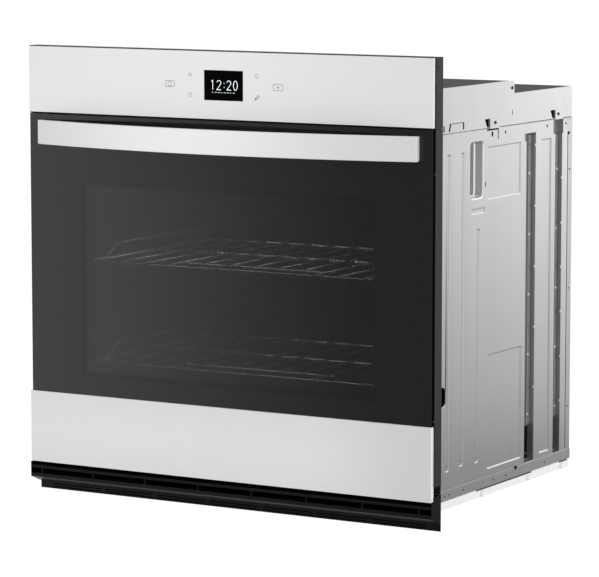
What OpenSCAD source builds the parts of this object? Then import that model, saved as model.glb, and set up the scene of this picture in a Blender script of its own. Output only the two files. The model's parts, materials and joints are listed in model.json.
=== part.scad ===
// Built-in single wall oven with a drop-down glass door.
// +Z is up and the front faces -Y. The origin is on the cut-out floor, in the plane of the
// cabinet face, midway across the width.

/* [Overall] */
// Width across the front frame
frame_w = 762; // [758:1:766]
// Top edge of the front frame above the cut-out floor
frame_top = 723; // [720:1:728]
// How far the front trim hangs below the cut-out floor
trim_drop = 24; // [22:1:30]
// Width of the chassis that enters the cut-out
chassis_w = 719; // [716:1:722]
// Depth of the chassis behind the cabinet face
chassis_d = 508; // [500:1:520]
// Height of the lower side panels' top edge, at the seam
seam_z = 599; // [597:1:600]
// Height of the chassis top at the front
top_front_z = 671; // [668:1:675]
// Height of the chassis top at the back
top_rear_z = 650; // [648:1:655]
// Sheet thickness of the chassis
sheet_t = 1.2; // [1:0.1:1.4]

/* [Front] */
// How far the glass stands in front of the cabinet face
front_d = 28; // [27:0.5:30]
// Thickness of the outer glass and of the control panel
glass_t = 4; // [4:0.5:5]
// Width of the control panel
panel_w = 758; // [754:1:758]
// Bottom edge of the control panel
panel_z = 613.5; // [613:0.5:615]
// Width of the display window
display_w = 72.7; // [60:0.1:90]
// Height of the display window
display_h = 48.2; // [40:0.1:55]

/* [Door] */
// Top edge of the door
door_top = 610.5; // [609:0.5:611]
// Bottom edge of the door
door_bottom = 26.5; // [25:0.5:28]
// Joint between the glass and the lower door trim
trim_z = 146; // [140:0.5:155]
// Width of the clear window in the door
window_w = 557; // [540:1:560]
// Bottom edge of the clear window
window_z0 = 177; // [174:1:185]
// Top edge of the clear window
window_z1 = 501; // [490:1:505]
// Height of the door hinge axis
hinge_z = 48; // [47:0.5:49]
// Width of the handle
handle_w = 711; // [680:1:720]
// Height of the handle's flat front
handle_h = 40; // [34:1:44]
// Thickness of the handle
handle_t = 8; // [6:0.5:10]
// How far the middle of the handle bows out past its ends
handle_bow = 46; // [30:1:50]

/* [Cavity] */
// Inside width of the oven cavity
cavity_w = 610; // [600:2:612]
// Floor of the cavity
cavity_z0 = 130; // [128:1:134]
// Ceiling of the cavity
cavity_z1 = 560; // [556:1:562]
// Depth at which the cavity's back wall stands
cavity_y1 = 452; // [450:1:455]
// Number of rack levels
levels = 6; // [4:1:6]
// Rack level that the lower rack rests on, counted from 0
lower_level = 0; // [0:1:1]
// Rack level that the upper rack rests on
upper_level = 3; // [2:1:3]

/* [Hidden] */
$fn = 48;
frame_hw = frame_w / 2;
chassis_hw = chassis_w / 2;
inner_hw = chassis_hw - sheet_t;      // inside face of the chassis sides
panel_hw = panel_w / 2;
cavity_hw = cavity_w / 2;
skin_t = 1.5;                         // sheet of the front flange
flange_in = 354;                      // inner edge of the side trims, outside the door's plug
return_d = 23;                        // depth of the frame's side returns
recess_y = 12;                        // front face of the cavity's front frame
split_z = 611.6;                      // joint between the console and the side trims
notch_z0 = 34.5;                      // open notch of the side return beside each hinge
notch_z1 = 50;
base_h = 14;                          // height of the base rails
flange_z = 30;                        // top of the base pan's side flanges
seam_gap = 0.8;                       // open joint under the upper sides
press_d = 1.5;                        // depth of the beads and fields pressed into the sides
channel_d = 10;                       // depth of the sides' vertical channels
pocket_d = 19;                        // depth of the lifting pockets
hinge_y = 4 - front_d;                // door hinge axis
hinge_x = 326;                        // middle of each hinge
pin_r = 4;
running_gap = 0.05;
window_hw = window_w / 2;
pane_lap = 7;                         // how far the inner panes reach past the clear window
glass_y = -front_d + glass_t;         // back of the outer glass
door_hw = 377.8;                      // half width of the door's glass
handle_z = 581;                       // middle of the handle's height
handle_y = -front_d - 11 - handle_bow;    // foremost line of the handle's front
handle_r = (pow(handle_w / 2, 2) + pow(handle_bow, 2)) / (2 * handle_bow);
plug_hw = 350;                        // half width of the door's inner pan
plug_y = 5;                           // back face of the closed door's inner pan
plug_z0 = 62;
plug_z1 = 604;
shelf_y = -14;                        // front of the door's middle pane
level_pitch = 56.4;
level_z0 = cavity_z0 + 59.5;          // top of the lowest ledge
ledge_w = 14;
ledge_h = 6;
rack_y0 = 24;
rack_y1 = 412;
rack_r = 3.2;                         // rack frame wire
grid_r = 2;                           // rack grid wire
side_r = 3.4;                         // rack side wire
rack_hw = 298;                        // rack side wires' centre lines
fan_z = 345;                          // convection fan axis height
deck_z = seam_z + sheet_t;            // top of the deck over the cavity
face_top = 609;                       // top of the cavity's front frame
blower = [0, 400, deck_z];            // cooling blower, on the air deck
step_y = 273;                         // where the chassis top steps down
switch_x = 338;                       // door switch
switch_z = 480;
screw_z = [150, 540];                 // cabinet screw heights
screw_x = 370;
lamp = [-215, cavity_y1, 500];        // oven lamp
probe = [240, 340, 525];              // tip of the temperature probe
broil_z = 545;                        // broil element
element_pitch = 84;                   // between the runs of each element
element_runs = 6;
broil_x = element_pitch * (element_runs - 1) / 2;
box_d = 45;                           // depth of the junction box and the rear cover
supply = [235, chassis_d + 22];       // middle of the supply box, seen from above
supply_z0 = 560;                      // bottom and top of the supply box
supply_z1 = 640;
supply_hw = 45;                       // its half width

// Pressed into each side, as [y0, y1, z0, z1, corner radius]: four beads and three fields
fields = [[54, 68, 59, 566, 4.5], [102, 116, 61, 566, 4.5], [156, 170, 58, 440, 4.5],
    [138, 188, 463, 473, 4.2], [195, 317, 483, 569, 3.2], [200, 324, 42, 231, 3.2],
    [392, 430, 39, 568, 3.2]];
// Vertical channels of each side
channels = [[335, 373, 31, 581], [444.5, 473, 31, 596]];
// Lifting pocket of each side
pocket = [137, 180, 491, 578, 8];

// ---------------------------------------------------------------- helpers

// Box between two corners
module block(x0, x1, y0, y1, z0, z1) {
    translate([x0, y0, z0]) cube([x1 - x0, y1 - y0, z1 - z0]);
}

// A flat (x, z) outline made solid from y0 to y1
module slab_y(y0, y1) {
    rotate([90, 0, 0]) translate([0, 0, -y1]) linear_extrude(y1 - y0) children();
}

// A flat (y, z) outline made solid from x0 to x1
module slab_x(x0, x1) {
    translate([x0, 0, 0]) rotate([90, 0, 90]) linear_extrude(x1 - x0) children();
}

// Rectangle between two corners
module rect(a0, a1, b0, b1) {
    translate([a0, b0]) square([a1 - a0, b1 - b0]);
}

// Rectangle [a0, a1, b0, b1, r] with rounded corners, grown by g on each side
module field(f, g) { round_rect(f[0] - g, f[1] + g, f[2] - g, f[3] + g, f[4] + g); }

// Rectangle between two corners, with corner radius r
module round_rect(a0, a1, b0, b1, r) {
    rect(a0 + r, a1 - r, b0, b1);
    rect(a0, a1, b0 + r, b1 - r);
    for (a = [a0 + r, a1 - r], b = [b0 + r, b1 - r]) translate([a, b]) circle(r);
}

// Obround between two corners
module slot(a0, a1, b0, b1) {
    round_rect(a0, a1, b0, b1, min(a1 - a0, b1 - b0) / 2 - 0.001);
}

// Cylinder along X, Y or Z from a point
module bar_x(p, r, len) { translate(p) rotate([0, 90, 0]) cylinder(r = r, h = len); }
module bar_y(p, r, len) { translate(p) rotate([-90, 0, 0]) cylinder(r = r, h = len); }
module bar_z(p, r, len) { translate(p) cylinder(r = r, h = len); }

// Mirrors the right-hand piece to the left, or makes both
module left() { mirror([1, 0, 0]) children(); }
module both() {
    for (s = [0, 1]) mirror([s, 0, 0]) children();
}

// Height of a rack ledge's top
function level(i) = level_z0 + level_pitch * i;

// Height of a rack's side wires on a ledge, just clear of it
function rack_z(i) = level(i) + side_r + 0.4;

// Depth of the handle's back face at a distance x from the middle
function handle_back(x) = handle_y + handle_r - sqrt(pow(handle_r - handle_t, 2) - x * x);

// ---------------------------------------------------------------- front structure

// Face plate round the cavity mouth, set back inside the chassis, with a shelf over the door
module front_frame() {
    color("dimgray") {
        difference() {
            slab_y(recess_y, recess_y + skin_t) rect(-inner_hw, inner_hw, base_h + sheet_t,
                face_top);
            slab_y(recess_y - 1, recess_y + skin_t + 1)
                round_rect(-cavity_hw, cavity_hw, cavity_z0, cavity_z1, 12);
            for (s = [-1, 1])
                block(s * hinge_x - 6, s * hinge_x + 6, recess_y - 1, recess_y + 3,
                    hinge_z - 10, hinge_z + 10);
            bar_y([switch_x, recess_y - 1, switch_z], 5.5, 4);
        }
        block(-inner_hw, inner_hw, 0, recess_y, face_top - sheet_t, face_top);
    }
}

// Frame side: a flange that lies on the cabinet face and a forward return beside the door
module side_trim() {
    color("dimgray") difference() {
        union() {
            block(chassis_hw + 0.3, frame_hw, -skin_t, 0, notch_z1, split_z - 0.6);
            block(flange_in, chassis_hw + 0.3, -skin_t, -0.3, notch_z1, split_z - 0.6);
            block(frame_hw - 1, frame_hw, -return_d, -skin_t, notch_z1, split_z - 0.6);
        }
        for (z = screw_z) bar_y([screw_x, -skin_t - 1, z], 2.5, skin_t + 2);
    }
}

// Tray behind the control panel
module console_frame() {
    color("dimgray") difference() {
        union() {
            block(-frame_hw, frame_hw, -skin_t, 0, split_z, frame_top);
            both()
                block(frame_hw - 1, frame_hw, -return_d, -skin_t, split_z, frame_top);
            block(-frame_hw + 1, frame_hw - 1, -return_d, -skin_t, frame_top - 1, frame_top);
            block(-frame_hw + 1, frame_hw - 1, -return_d, -skin_t, split_z, split_z + 1);
        }
        block(-300, 300, -skin_t - 1, 1, 625, 662);
        for (p = [[-19, 706], [-16, 636]])
            bar_x([frame_hw - 2, p[0], p[1]], 1.6, 3);
    }
}

// Flat white control panel with an opening for the display
module control_panel() {
    x0 = -display_w / 2 - 1.15;
    z0 = 643.8;
    color("white") difference() {
        block(-panel_hw, panel_hw, -front_d, -return_d, panel_z, frame_top - 1);
        block(x0 - 0.1, x0 + display_w + 0.1, -front_d - 1, -return_d + 1,
            z0 - 0.1, z0 + display_h + 0.1);
    }
}

// Dark display glass with its module behind the panel
module display_window() {
    x0 = -display_w / 2 - 1.15;
    z0 = 643.8;
    color("black") {
        block(x0, x0 + display_w, -front_d, -return_d, z0, z0 + display_h);
        block(x0 - 8, x0 + display_w + 8, -return_d, -15, z0 - 5, z0 + display_h + 5);
    }
}

// Circuit board of the controls, with a relay row and its connectors
module control_board() {
    color("darkgreen") block(-150, 150, -11, -9.4, 630, 712);
    color("darkgreen") {
        for (i = [0:4]) block(-130 + 22 * i, -112 + 22 * i, -9.4, -3, 664, 678);
        for (i = [0:2]) block(60 + 28 * i, 82 + 28 * i, -9.4, -4, 690, 700);
        bar_y([30, -9.4, 688], 6, 6);
    }
}

// Air outlet below the door: a face plate on the cabinet, with fins and webs in front of it
// between two end caps
module vent_trim() {
    fin_hw = frame_hw - 1;
    fin_y = -front_d - 3;
    plate_z1 = 25;
    bays = 7;
    pitch = 2 * (chassis_hw - 1) / bays;
    color("black") {
        difference() {
            block(-frame_hw, frame_hw, -skin_t, 0, -trim_drop, plate_z1);
            for (i = [0:bays - 1]) {
                x0 = -chassis_hw + 1 + pitch * i + 4;
                block(x0, x0 + pitch - 8, -skin_t - 1, 1, 6.5, 14.5);
                for (z = [-16.5, -21]) block(x0, x0 + pitch - 8, -skin_t - 1, 1, z, z + 1.6);
            }
        }
        block(-fin_hw, fin_hw, fin_y, -skin_t, 15, 19.5);
        slab_x(-fin_hw, fin_hw)
            polygon([[fin_y, 6], [fin_y, 0], [-skin_t, -12], [-skin_t, -9], [-6, 6]]);
        for (i = [0:bays]) {
            x = -chassis_hw + pitch * i;
            slab_x(x, x + 2) polygon([[fin_y, 19.5], [fin_y, 0], [-skin_t, -12], [-skin_t, 19.5]]);
        }
        both() {
            slab_x(fin_hw, frame_hw) polygon([[-skin_t, plate_z1], [fin_y, plate_z1], [fin_y, 0],
                [-10, -9], [-skin_t, -12]]);
            block(fin_hw, frame_hw, -return_d, -skin_t, plate_z1, notch_z0);
            block(chassis_hw + 0.3, frame_hw, -skin_t, 0, plate_z1, notch_z0);
        }
    }
}

// ---------------------------------------------------------------- chassis

// Lower side panel: pressed beads and fields, two vertical channels and a lifting pocket
module side_panel() {
    slot_y = [30, 56];
    slit_y = [492, 494];
    color("gainsboro") difference() {
        union() {
            slab_x(inner_hw, chassis_hw) rect(0, chassis_d, base_h + sheet_t, seam_z - seam_gap);
            for (f = fields) slab_x(inner_hw - press_d, inner_hw) field(f, sheet_t);
            for (c = channels)
                block(inner_hw - channel_d, inner_hw, c[0] - sheet_t, c[1] + sheet_t,
                    c[2] - sheet_t, c[3] + sheet_t);
            slab_x(inner_hw - pocket_d, inner_hw) field(pocket, sheet_t);
        }
        for (f = fields) slab_x(chassis_hw - press_d, chassis_hw + 1) field(f, 0);
        for (c = channels)
            block(chassis_hw - channel_d, chassis_hw + 1, c[0], c[1], c[2], c[3]);
        slab_x(chassis_hw - pocket_d, chassis_hw + 1) field(pocket, 0);
        slab_x(inner_hw - 1, chassis_hw + 1) {
            slot(slot_y[0], slot_y[1], 165, 198);
            rect(slit_y[0], slit_y[1], 33, 573);
            for (y = [212, 259, 413, 485]) translate([y, 588.5]) circle(2);
            for (z = [105, 308, 510]) translate([500, z]) circle(1.8);
        }
    }
}

// Upper side: closes the air space over the cavity and laps the seam with two bent tabs
module upper_side() {
    tabs = [[200, 233], [440, 469]];
    tab_z0 = seam_z + 0.4;
    tab_z1 = 614;
    color("whitesmoke") difference() {
        union() {
            slab_x(inner_hw, chassis_hw) polygon([[0, seam_z], [chassis_d, seam_z],
                [chassis_d, top_rear_z], [step_y + 17, top_rear_z], [step_y + 17, top_front_z],
                [0, top_front_z]]);
            for (t = tabs) block(chassis_hw, chassis_hw + sheet_t, t[0], t[1], tab_z0, tab_z1);
        }
        slab_x(inner_hw - 1, chassis_hw + 3) {
            slot(276, 292, 617, 621);
            for (p = [[45, 607], [64, 607], [111, 607]]) translate(p) circle(2.2);
        }
        for (p = [[218, 606.6], [451, 606.5], [282, 659]])
            bar_x([inner_hw - 1, p[0], p[1]], 2, 5);
    }
}

// Screws of both upper sides, as heads and shanks
module body_screws() {
    color("silver") both()
        for (p = [[218, 606.6, sheet_t], [451, 606.5, sheet_t], [282, 659, 0]]) {
            bar_x([chassis_hw + p[2], p[0], p[1]], 3.6, 1.5);
            bar_x([inner_hw - 4, p[0], p[1]], 1.9, 5.2 + p[2]);
        }
}

module top_cover_front() {
    color("gainsboro") {
        block(-inner_hw, inner_hw, 0, step_y, top_front_z - sheet_t, top_front_z);
        block(-inner_hw, inner_hw, step_y - sheet_t, step_y, top_rear_z, top_front_z - sheet_t);
    }
}

// Rear top cover, with the blower's air inlet
module top_cover_rear() {
    color("gainsboro") difference() {
        block(-inner_hw, inner_hw, step_y - sheet_t, chassis_d - sheet_t,
            top_rear_z - sheet_t, top_rear_z);
        for (a = [0:30:330], r = [18, 34, 50])
            bar_z([blower.x + r * cos(a + r), blower.y + r * sin(a + r), top_rear_z - 3], 3.2, 5);
    }
}

// Back wall of the chassis, with two stacks of vents and an opening for the supply wires
module rear_panel() {
    vent_x = 260;
    vent_pitch = 14;
    color("gainsboro") difference() {
        block(-inner_hw, inner_hw, chassis_d - sheet_t, chassis_d, base_h + sheet_t,
            top_rear_z - sheet_t);
        for (i = [0:7], s = [-1, 1])
            block(s * vent_x - 40, s * vent_x + 40, chassis_d - 3, chassis_d + 1,
                120 + vent_pitch * i, 125 + vent_pitch * i);
        bar_y([supply[0], chassis_d - 3, supply_z0 + 20], 12, 5);
    }
}

// Shallow duct cover on the back, with louvre slots
module rear_cover() {
    hw = 160;
    z0 = 200;
    z1 = 600;
    color("gainsboro") difference() {
        block(-hw, hw, chassis_d, chassis_d + box_d, z0, z1);
        block(-hw + sheet_t, hw - sheet_t, chassis_d - 1, chassis_d + box_d - sheet_t,
            z0 + sheet_t, z1 - sheet_t);
        for (i = [0:9], s = [-1, 1])
            slab_y(chassis_d + box_d - 3, chassis_d + box_d + 1)
                slot(s * 75 - 45, s * 75 + 45, 240 + 16 * i, 245 + 16 * i);
    }
}

// Tray under the chassis, its side flanges outside the side panels
module base_pan() {
    flange_hw = chassis_hw + sheet_t;
    pan_y1 = chassis_d + 2;
    color("gainsboro") difference() {
        block(-flange_hw, flange_hw, 0, pan_y1, base_h, flange_z);
        block(-chassis_hw, chassis_hw, -1, pan_y1 + 1, base_h + sheet_t, flange_z + 1);
        for (y = [50, 67, 115, 222, 267, 412])
            bar_x([-flange_hw - 1, y, 22], 1.8, 2 * flange_hw + 2);
    }
}

// Ring of rails that the oven rests on, with pads up to the pan
module base_frame() {
    rail_w = 24;
    rail_h = 11;
    y0 = 0.2;
    pads = [[22, 163], [366, 470]];
    color("whitesmoke") {
        difference() {
            block(-chassis_hw, chassis_hw, y0, chassis_d, 0, rail_h);
            block(-chassis_hw + rail_w, chassis_hw - rail_w, y0 + rail_w, chassis_d - rail_w,
                -1, rail_h + 1);
        }
        both() for (p = pads)
            block(chassis_hw - rail_w, chassis_hw, p[0], p[1], rail_h, base_h);
    }
}

// Deck between the insulated cavity and the cooling air space, with two cable openings
module air_deck() {
    color("silver") difference() {
        block(-inner_hw, inner_hw, recess_y + skin_t, chassis_d - sheet_t, seam_z, deck_z);
        for (x = [-240, 240]) block(x - 30, x + 30, 60, 80, seam_z - 1, deck_z + 1);
    }
}

// ---------------------------------------------------------------- cavity

// Side wall of the cavity with its rack ledges
module liner_side() {
    color("midnightblue") {
        block(cavity_hw, cavity_hw + sheet_t, recess_y + skin_t, cavity_y1, cavity_z0, cavity_z1);
        for (i = [0:levels - 1])
            block(cavity_hw - ledge_w, cavity_hw, 34, cavity_y1 - 14, level(i) - ledge_h, level(i));
    }
}

module liner_top() {
    color("midnightblue") block(-cavity_hw - sheet_t, cavity_hw + sheet_t, recess_y + skin_t, cavity_y1,
        cavity_z1, cavity_z1 + sheet_t);
}

module liner_bottom() {
    color("midnightblue") block(-cavity_hw - sheet_t, cavity_hw + sheet_t, recess_y + skin_t, cavity_y1,
        cavity_z0 - sheet_t, cavity_z0);
}

// Back wall of the cavity, with openings for the lamp, the fan shaft and the broil element
module liner_back() {
    color("midnightblue") difference() {
        block(-cavity_hw - sheet_t, cavity_hw + sheet_t, cavity_y1, cavity_y1 + sheet_t,
            cavity_z0 - sheet_t, cavity_z1 + sheet_t);
        bar_y([lamp.x, lamp.y - 1, lamp.z], 24, 4);
        bar_y([0, cavity_y1 - 1, fan_z], 9, 4);
        for (x = [-broil_x, broil_x]) bar_y([x, cavity_y1 - 1, broil_z], 5, 4);
        bar_y([probe.x, cavity_y1 - 1, probe.z], 3, 4);
    }
}

// Fibre blankets round the cavity
module insulation() {
    y0 = 40;
    y1 = cavity_y1 - 2;
    wool_t = 21;
    color("khaki") {
        both()
            block(cavity_hw + 3, cavity_hw + 3 + wool_t, y0, y1, cavity_z0 - 22, cavity_z1 + 32);
        block(-cavity_hw, cavity_hw, y0, y1, cavity_z1 + 4, cavity_z1 + 4 + wool_t);
        block(-cavity_hw, cavity_hw, y0, y1, cavity_z0 - 30 - wool_t, cavity_z0 - 30);
        difference() {
            block(-cavity_hw, cavity_hw, cavity_y1 + 6, cavity_y1 + 6 + wool_t,
                cavity_z0 - 20, cavity_z1 + 30);
            bar_y([lamp.x, cavity_y1, lamp.z], 34, 40);
            bar_y([0, cavity_y1, fan_z], 52, 40);
            for (x = [-broil_x, broil_x]) bar_y([x, cavity_y1, broil_z], 8, 40);
            bar_y([probe.x, cavity_y1, probe.z], 6, 40);
        }
    }
}

// Serpentine heating rod: runs along Y joined by half rings, its two ends leaving at the back
module serpentine(z, y_end) {
    y0 = 90;
    y1 = 385;
    r = 4;
    for (i = [0:element_runs - 1]) {
        x = element_pitch * i - broil_x;
        last = i == 0 || i == element_runs - 1;
        bar_y([x, y0, z], r, (last ? y_end : y1) - y0);
        front = i % 2 == 0;
        if (i < element_runs - 1)
            translate([x + element_pitch / 2, front ? y0 : y1, z]) rotate([0, 0, front ? 180 : 0])
                rotate_extrude(angle = 180) translate([element_pitch / 2, 0]) circle(r);
    }
}

module broil_element() {
    color("dimgray") serpentine(broil_z, cavity_y1 + 34);
}

// Bake element under the cavity floor
module bake_element() {
    color("dimgray") serpentine(cavity_z0 - 14, cavity_y1 - 6);
}

// Dished cover in front of the convection fan, slotted on its face and its sides
module fan_baffle() {
    hw = 112;
    y0 = 420;
    color("midnightblue") difference() {
        slab_y(y0, cavity_y1) round_rect(-hw, hw, fan_z - hw, fan_z + hw, 30);
        slab_y(y0 + sheet_t, cavity_y1 + 1)
            round_rect(-hw + sheet_t, hw - sheet_t, fan_z - hw + sheet_t, fan_z + hw - sheet_t, 28.8);
        for (a = [0:15:345]) translate([0, y0, fan_z]) rotate([0, a, 0])
            block(22, 62, -1, 3, -2.2, 2.2);
        for (i = [-2:2]) {
            block(-hw - 1, hw + 1, y0 + 10, y0 + 24, fan_z + 28 * i - 5, fan_z + 28 * i + 5);
            block(28 * i - 5, 28 * i + 5, y0 + 10, y0 + 24, fan_z - hw - 1, fan_z + hw + 1);
        }
    }
}

// Convection fan motor with its bracket and shaft
module fan_motor() {
    color("gray") {
        bar_y([0, cavity_y1 + 8, fan_z], 36, 38);
        block(-44, 44, cavity_y1 + sheet_t, cavity_y1 + 3.2, fan_z - 16, fan_z + 16);
        bar_y([0, cavity_y1 + 3.2, fan_z], 12, 4.8);
        bar_y([0, 428, fan_z], pin_r, cavity_y1 + 9 - 428);
    }
}

// Convection fan wheel: a back disc with radial blades, turning on the motor's shaft
module fan_wheel() {
    color("silver") translate([0, 446, fan_z]) rotate([90, 0, 0]) difference() {
        union() {
            cylinder(r = 74, h = 1.2);
            cylinder(r = 10, h = 15);
            for (a = [0:30:330]) rotate([0, 0, a]) block(9, 72, -0.7, 0.7, 0.6, 14);
        }
        translate([0, 0, -1]) cylinder(r = pin_r + running_gap, h = 18);
    }
}

// Lamp holder behind the cavity's back wall
module lamp_housing() {
    color("silver") {
        difference() {
            bar_y([lamp.x, lamp.y + sheet_t, lamp.z], 30, 40);
            bar_y([lamp.x, lamp.y, lamp.z], 26, 36);
        }
        bar_y([lamp.x, lamp.y + 20, lamp.z], 9, 17.5);
        bar_y([lamp.x, lamp.y + 4, lamp.z], 7, 16);
    }
}

// Screw-in glass dome over the lamp
module lamp_lens() {
    color("lightcyan") translate(lamp) rotate([90, 0, 0]) rotate_extrude()
        polygon([[0, 10], [14, 9], [22, 4], [28, 0], [26, 0], [20.5, 2.8], [13, 7.4], [0, 8.4]]);
}

// Temperature probe through the back wall
module temperature_probe() {
    color("silver") {
        bar_y(probe, 2.5, cavity_y1 + 20 - probe.y);
        block(probe.x - 14, probe.x + 14, cavity_y1 - 1.4, cavity_y1, probe.z - 8, probe.z + 8);
    }
}

// Woven seal round the cavity mouth
module door_gasket() {
    inner = 10;
    outer = 20;
    color("gray") difference() {
        slab_y(plug_y + 0.4, recess_y)
            field([-cavity_hw, cavity_hw, cavity_z0, cavity_z1, 6], outer);
        slab_y(plug_y, recess_y + 1)
            field([-cavity_hw, cavity_hw, cavity_z0, cavity_z1, 6], inner);
    }
}

// ---------------------------------------------------------------- hinges and switch

// Pockets in the front frame that hold the hinge arms
module hinge_receivers() {
    color("gray") both() difference() {
        block(hinge_x - 9, hinge_x + 9, recess_y + skin_t, 62, hinge_z - 14, hinge_z + 14);
        block(hinge_x - 7, hinge_x + 7, recess_y, 60, hinge_z - 12, hinge_z + 12);
    }
}

// Fixed hinge arms: each hooks into its receiver and carries the door's pin at its front end
module hinge_arms() {
    half_t = 1.8;
    color("silver") both() difference() {
        union() {
            slab_x(hinge_x - half_t, hinge_x + half_t) {
                translate([hinge_y, hinge_z]) circle(6);
                rect(hinge_y, 52, hinge_z - 6, hinge_z + 6);
            }
            block(hinge_x - 7, hinge_x + 7, 40, 56, hinge_z - 12, hinge_z - 6);
        }
        bar_x([hinge_x - 5, hinge_y, hinge_z], pin_r + running_gap, 10);
    }
}

// Hinge channels fixed in the door, their ears either side of the arms
module hinge_bodies() {
    color("silver") both() difference() {
        union() {
            for (x = [hinge_x - 6, hinge_x + 2.4]) slab_x(x, x + 3.6) {
                translate([hinge_y, hinge_z]) circle(6);
                rect(hinge_y - 6, -8, hinge_z, 130);
            }
            block(hinge_x - 6, hinge_x + 6, -10, -8, 68, 130);
        }
        bar_x([hinge_x - 10, hinge_y, hinge_z], pin_r, 20);
    }
}

module hinge_pins() {
    color("dimgray") for (s = [-1, 1])
        bar_x([s * hinge_x - 7, hinge_y, hinge_z], pin_r, 14);
}

// Door switch behind the front frame
module switch_body() {
    color("dimgray") difference() {
        block(switch_x - 9, switch_x + 9, recess_y + skin_t, 34, switch_z - 12, switch_z + 12);
        bar_y([switch_x, recess_y, switch_z], 3 + running_gap, 30);
    }
}

module switch_plunger() {
    color("white") {
        bar_y([switch_x, plug_y + 0.5, switch_z], 3, 18);
        bar_y([switch_x, plug_y + 2, switch_z], 4.6, 1.6);
    }
}

// ---------------------------------------------------------------- cooling air

// Scroll round the cooling blower, open to the front
module blower_housing() {
    h = 42;
    color("silver") translate(blower) difference() {
        union() {
            cylinder(r = 86, h = h);
            block(0, 86, -120, 0, 0, h);
        }
        translate([0, 0, sheet_t]) cylinder(r = 84.8, h = h - 2 * sheet_t);
        block(sheet_t, 86 - sheet_t, -121, 1, sheet_t, h - sheet_t);
        translate([0, 0, h - 5]) cylinder(r = 50, h = 10);
    }
}

module blower_motor() {
    color("gray") translate(blower) {
        translate([0, 0, sheet_t]) cylinder(r = 32, h = 24);
        translate([0, 0, 20]) cylinder(r = pin_r, h = 20);
    }
}

// Cup-shaped blower wheel with a ring of blades, turning on the motor's shaft
module blower_wheel() {
    blades = 24;
    color("lightgray") translate(blower) difference() {
        union() {
            translate([0, 0, 33]) cylinder(r = 70, h = 1.5);
            translate([0, 0, 30]) cylinder(r = 9, h = 8);
            for (i = [0:blades - 1]) rotate([0, 0, 360 / blades * i])
                translate([62, 0, 0]) rotate([0, 0, 25]) block(-7, 7, -0.6, 0.6, 5, 33.5);
            difference() {
                translate([0, 0, 4]) cylinder(r = 70, h = 1.5);
                translate([0, 0, 3]) cylinder(r = 56, h = 4);
            }
        }
        translate([0, 0, 29]) cylinder(r = pin_r + running_gap, h = 10);
    }
}

// ---------------------------------------------------------------- supply

// Supply box on the back, with a conduit entry in its top
module junction_box() {
    wall = 1.5;
    inside_hw = supply_hw - wall;
    color("silver") difference() {
        block(supply[0] - supply_hw, supply[0] + supply_hw, chassis_d, chassis_d + box_d,
            supply_z0, supply_z1);
        block(supply[0] - inside_hw, supply[0] + inside_hw, chassis_d - 1, chassis_d + box_d + 1,
            supply_z0 + wall, supply_z1 - wall);
        bar_z([supply[0], supply[1], supply_z1 - 5], 11, 10);
    }
}

module junction_cover() {
    lap = 2;
    hw = supply_hw + lap;
    color("silver") block(supply[0] - hw, supply[0] + hw, chassis_d + box_d,
        chassis_d + box_d + sheet_t, supply_z0 - lap, supply_z1 + lap);
}

// Row of four terminals inside the supply box
module terminal_block() {
    pitch = 13;
    z = supply_z0 + 41;
    color("ivory") difference() {
        block(supply[0] - 27, supply[0] + 27, chassis_d, chassis_d + 14, z - 11, z + 11);
        for (i = [0:3]) bar_y([supply[0] - 20 + pitch * i, chassis_d + 8, z], 3, 10);
    }
}

// ---------------------------------------------------------------- door

module door_outer_glass() {
    color("black") block(-door_hw, door_hw, -front_d, glass_y, trim_z, door_top);
}

// Painted lower skin, folded round the door's bottom and sides, proud of the glass
module door_lower_trim() {
    hw = 379.3;
    y0 = -front_d - 3.5;
    color("white") difference() {
        block(-hw, hw, y0, glass_y + 2, door_bottom, trim_z);
        block(-hw + sheet_t, hw - sheet_t, y0 + sheet_t, glass_y + 3,
            door_bottom + sheet_t, trim_z - sheet_t);
        block(-hw - 1, hw + 1, glass_y, glass_y + 3, trim_z - sheet_t - 1, trim_z + 1);
        for (s = [-1, 1])
            block(s * hinge_x - 7, s * hinge_x + 7, y0 + sheet_t, glass_y + 3,
                door_bottom - 1, door_bottom + 3);
    }
}

// Vented cap along the top of the door, behind the glass
module door_top_trim() {
    color("black") difference() {
        block(-374, 374, glass_y, -4, plug_z1, door_top - 1.5);
        for (i = [-9:9]) block(36 * i - 14, 36 * i + 14, -16, -10, plug_z1 - 1, door_top);
    }
}

// Enamelled pan that closes the back of the door, with a flange behind the outer glass
module door_inner_pan() {
    flange_hw = 374;
    t = 1.2;
    color("midnightblue") difference() {
        union() {
            block(-plug_hw, plug_hw, glass_y + t, plug_y, plug_z0, plug_z1);
            block(-flange_hw, flange_hw, glass_y, glass_y + t, plug_z0, plug_z1);
        }
        block(-plug_hw + t, plug_hw - t, glass_y - 1, plug_y - t, plug_z0 + t, plug_z1 - t);
        slab_y(plug_y - 3, plug_y + 1)
            round_rect(-window_hw + 6, window_hw - 6, window_z0 + 15, window_z1 - 13, 14);
        for (s = [-1, 1])
            block(s * hinge_x - 9, s * hinge_x + 9, glass_y - 1, -6, plug_z0 - 1, 134);
    }
}

module door_inner_glass() {
    color("dimgray") block(-window_hw - pane_lap, window_hw + pane_lap, -0.2, plug_y - 1.2,
        window_z0 + 3, window_z1 - 1);
}

module door_middle_glass() {
    color("dimgray") block(-window_hw - pane_lap, window_hw + pane_lap, shelf_y, shelf_y + 3.5,
        window_z0 - pane_lap + 2, window_z1 + pane_lap);
}

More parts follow.
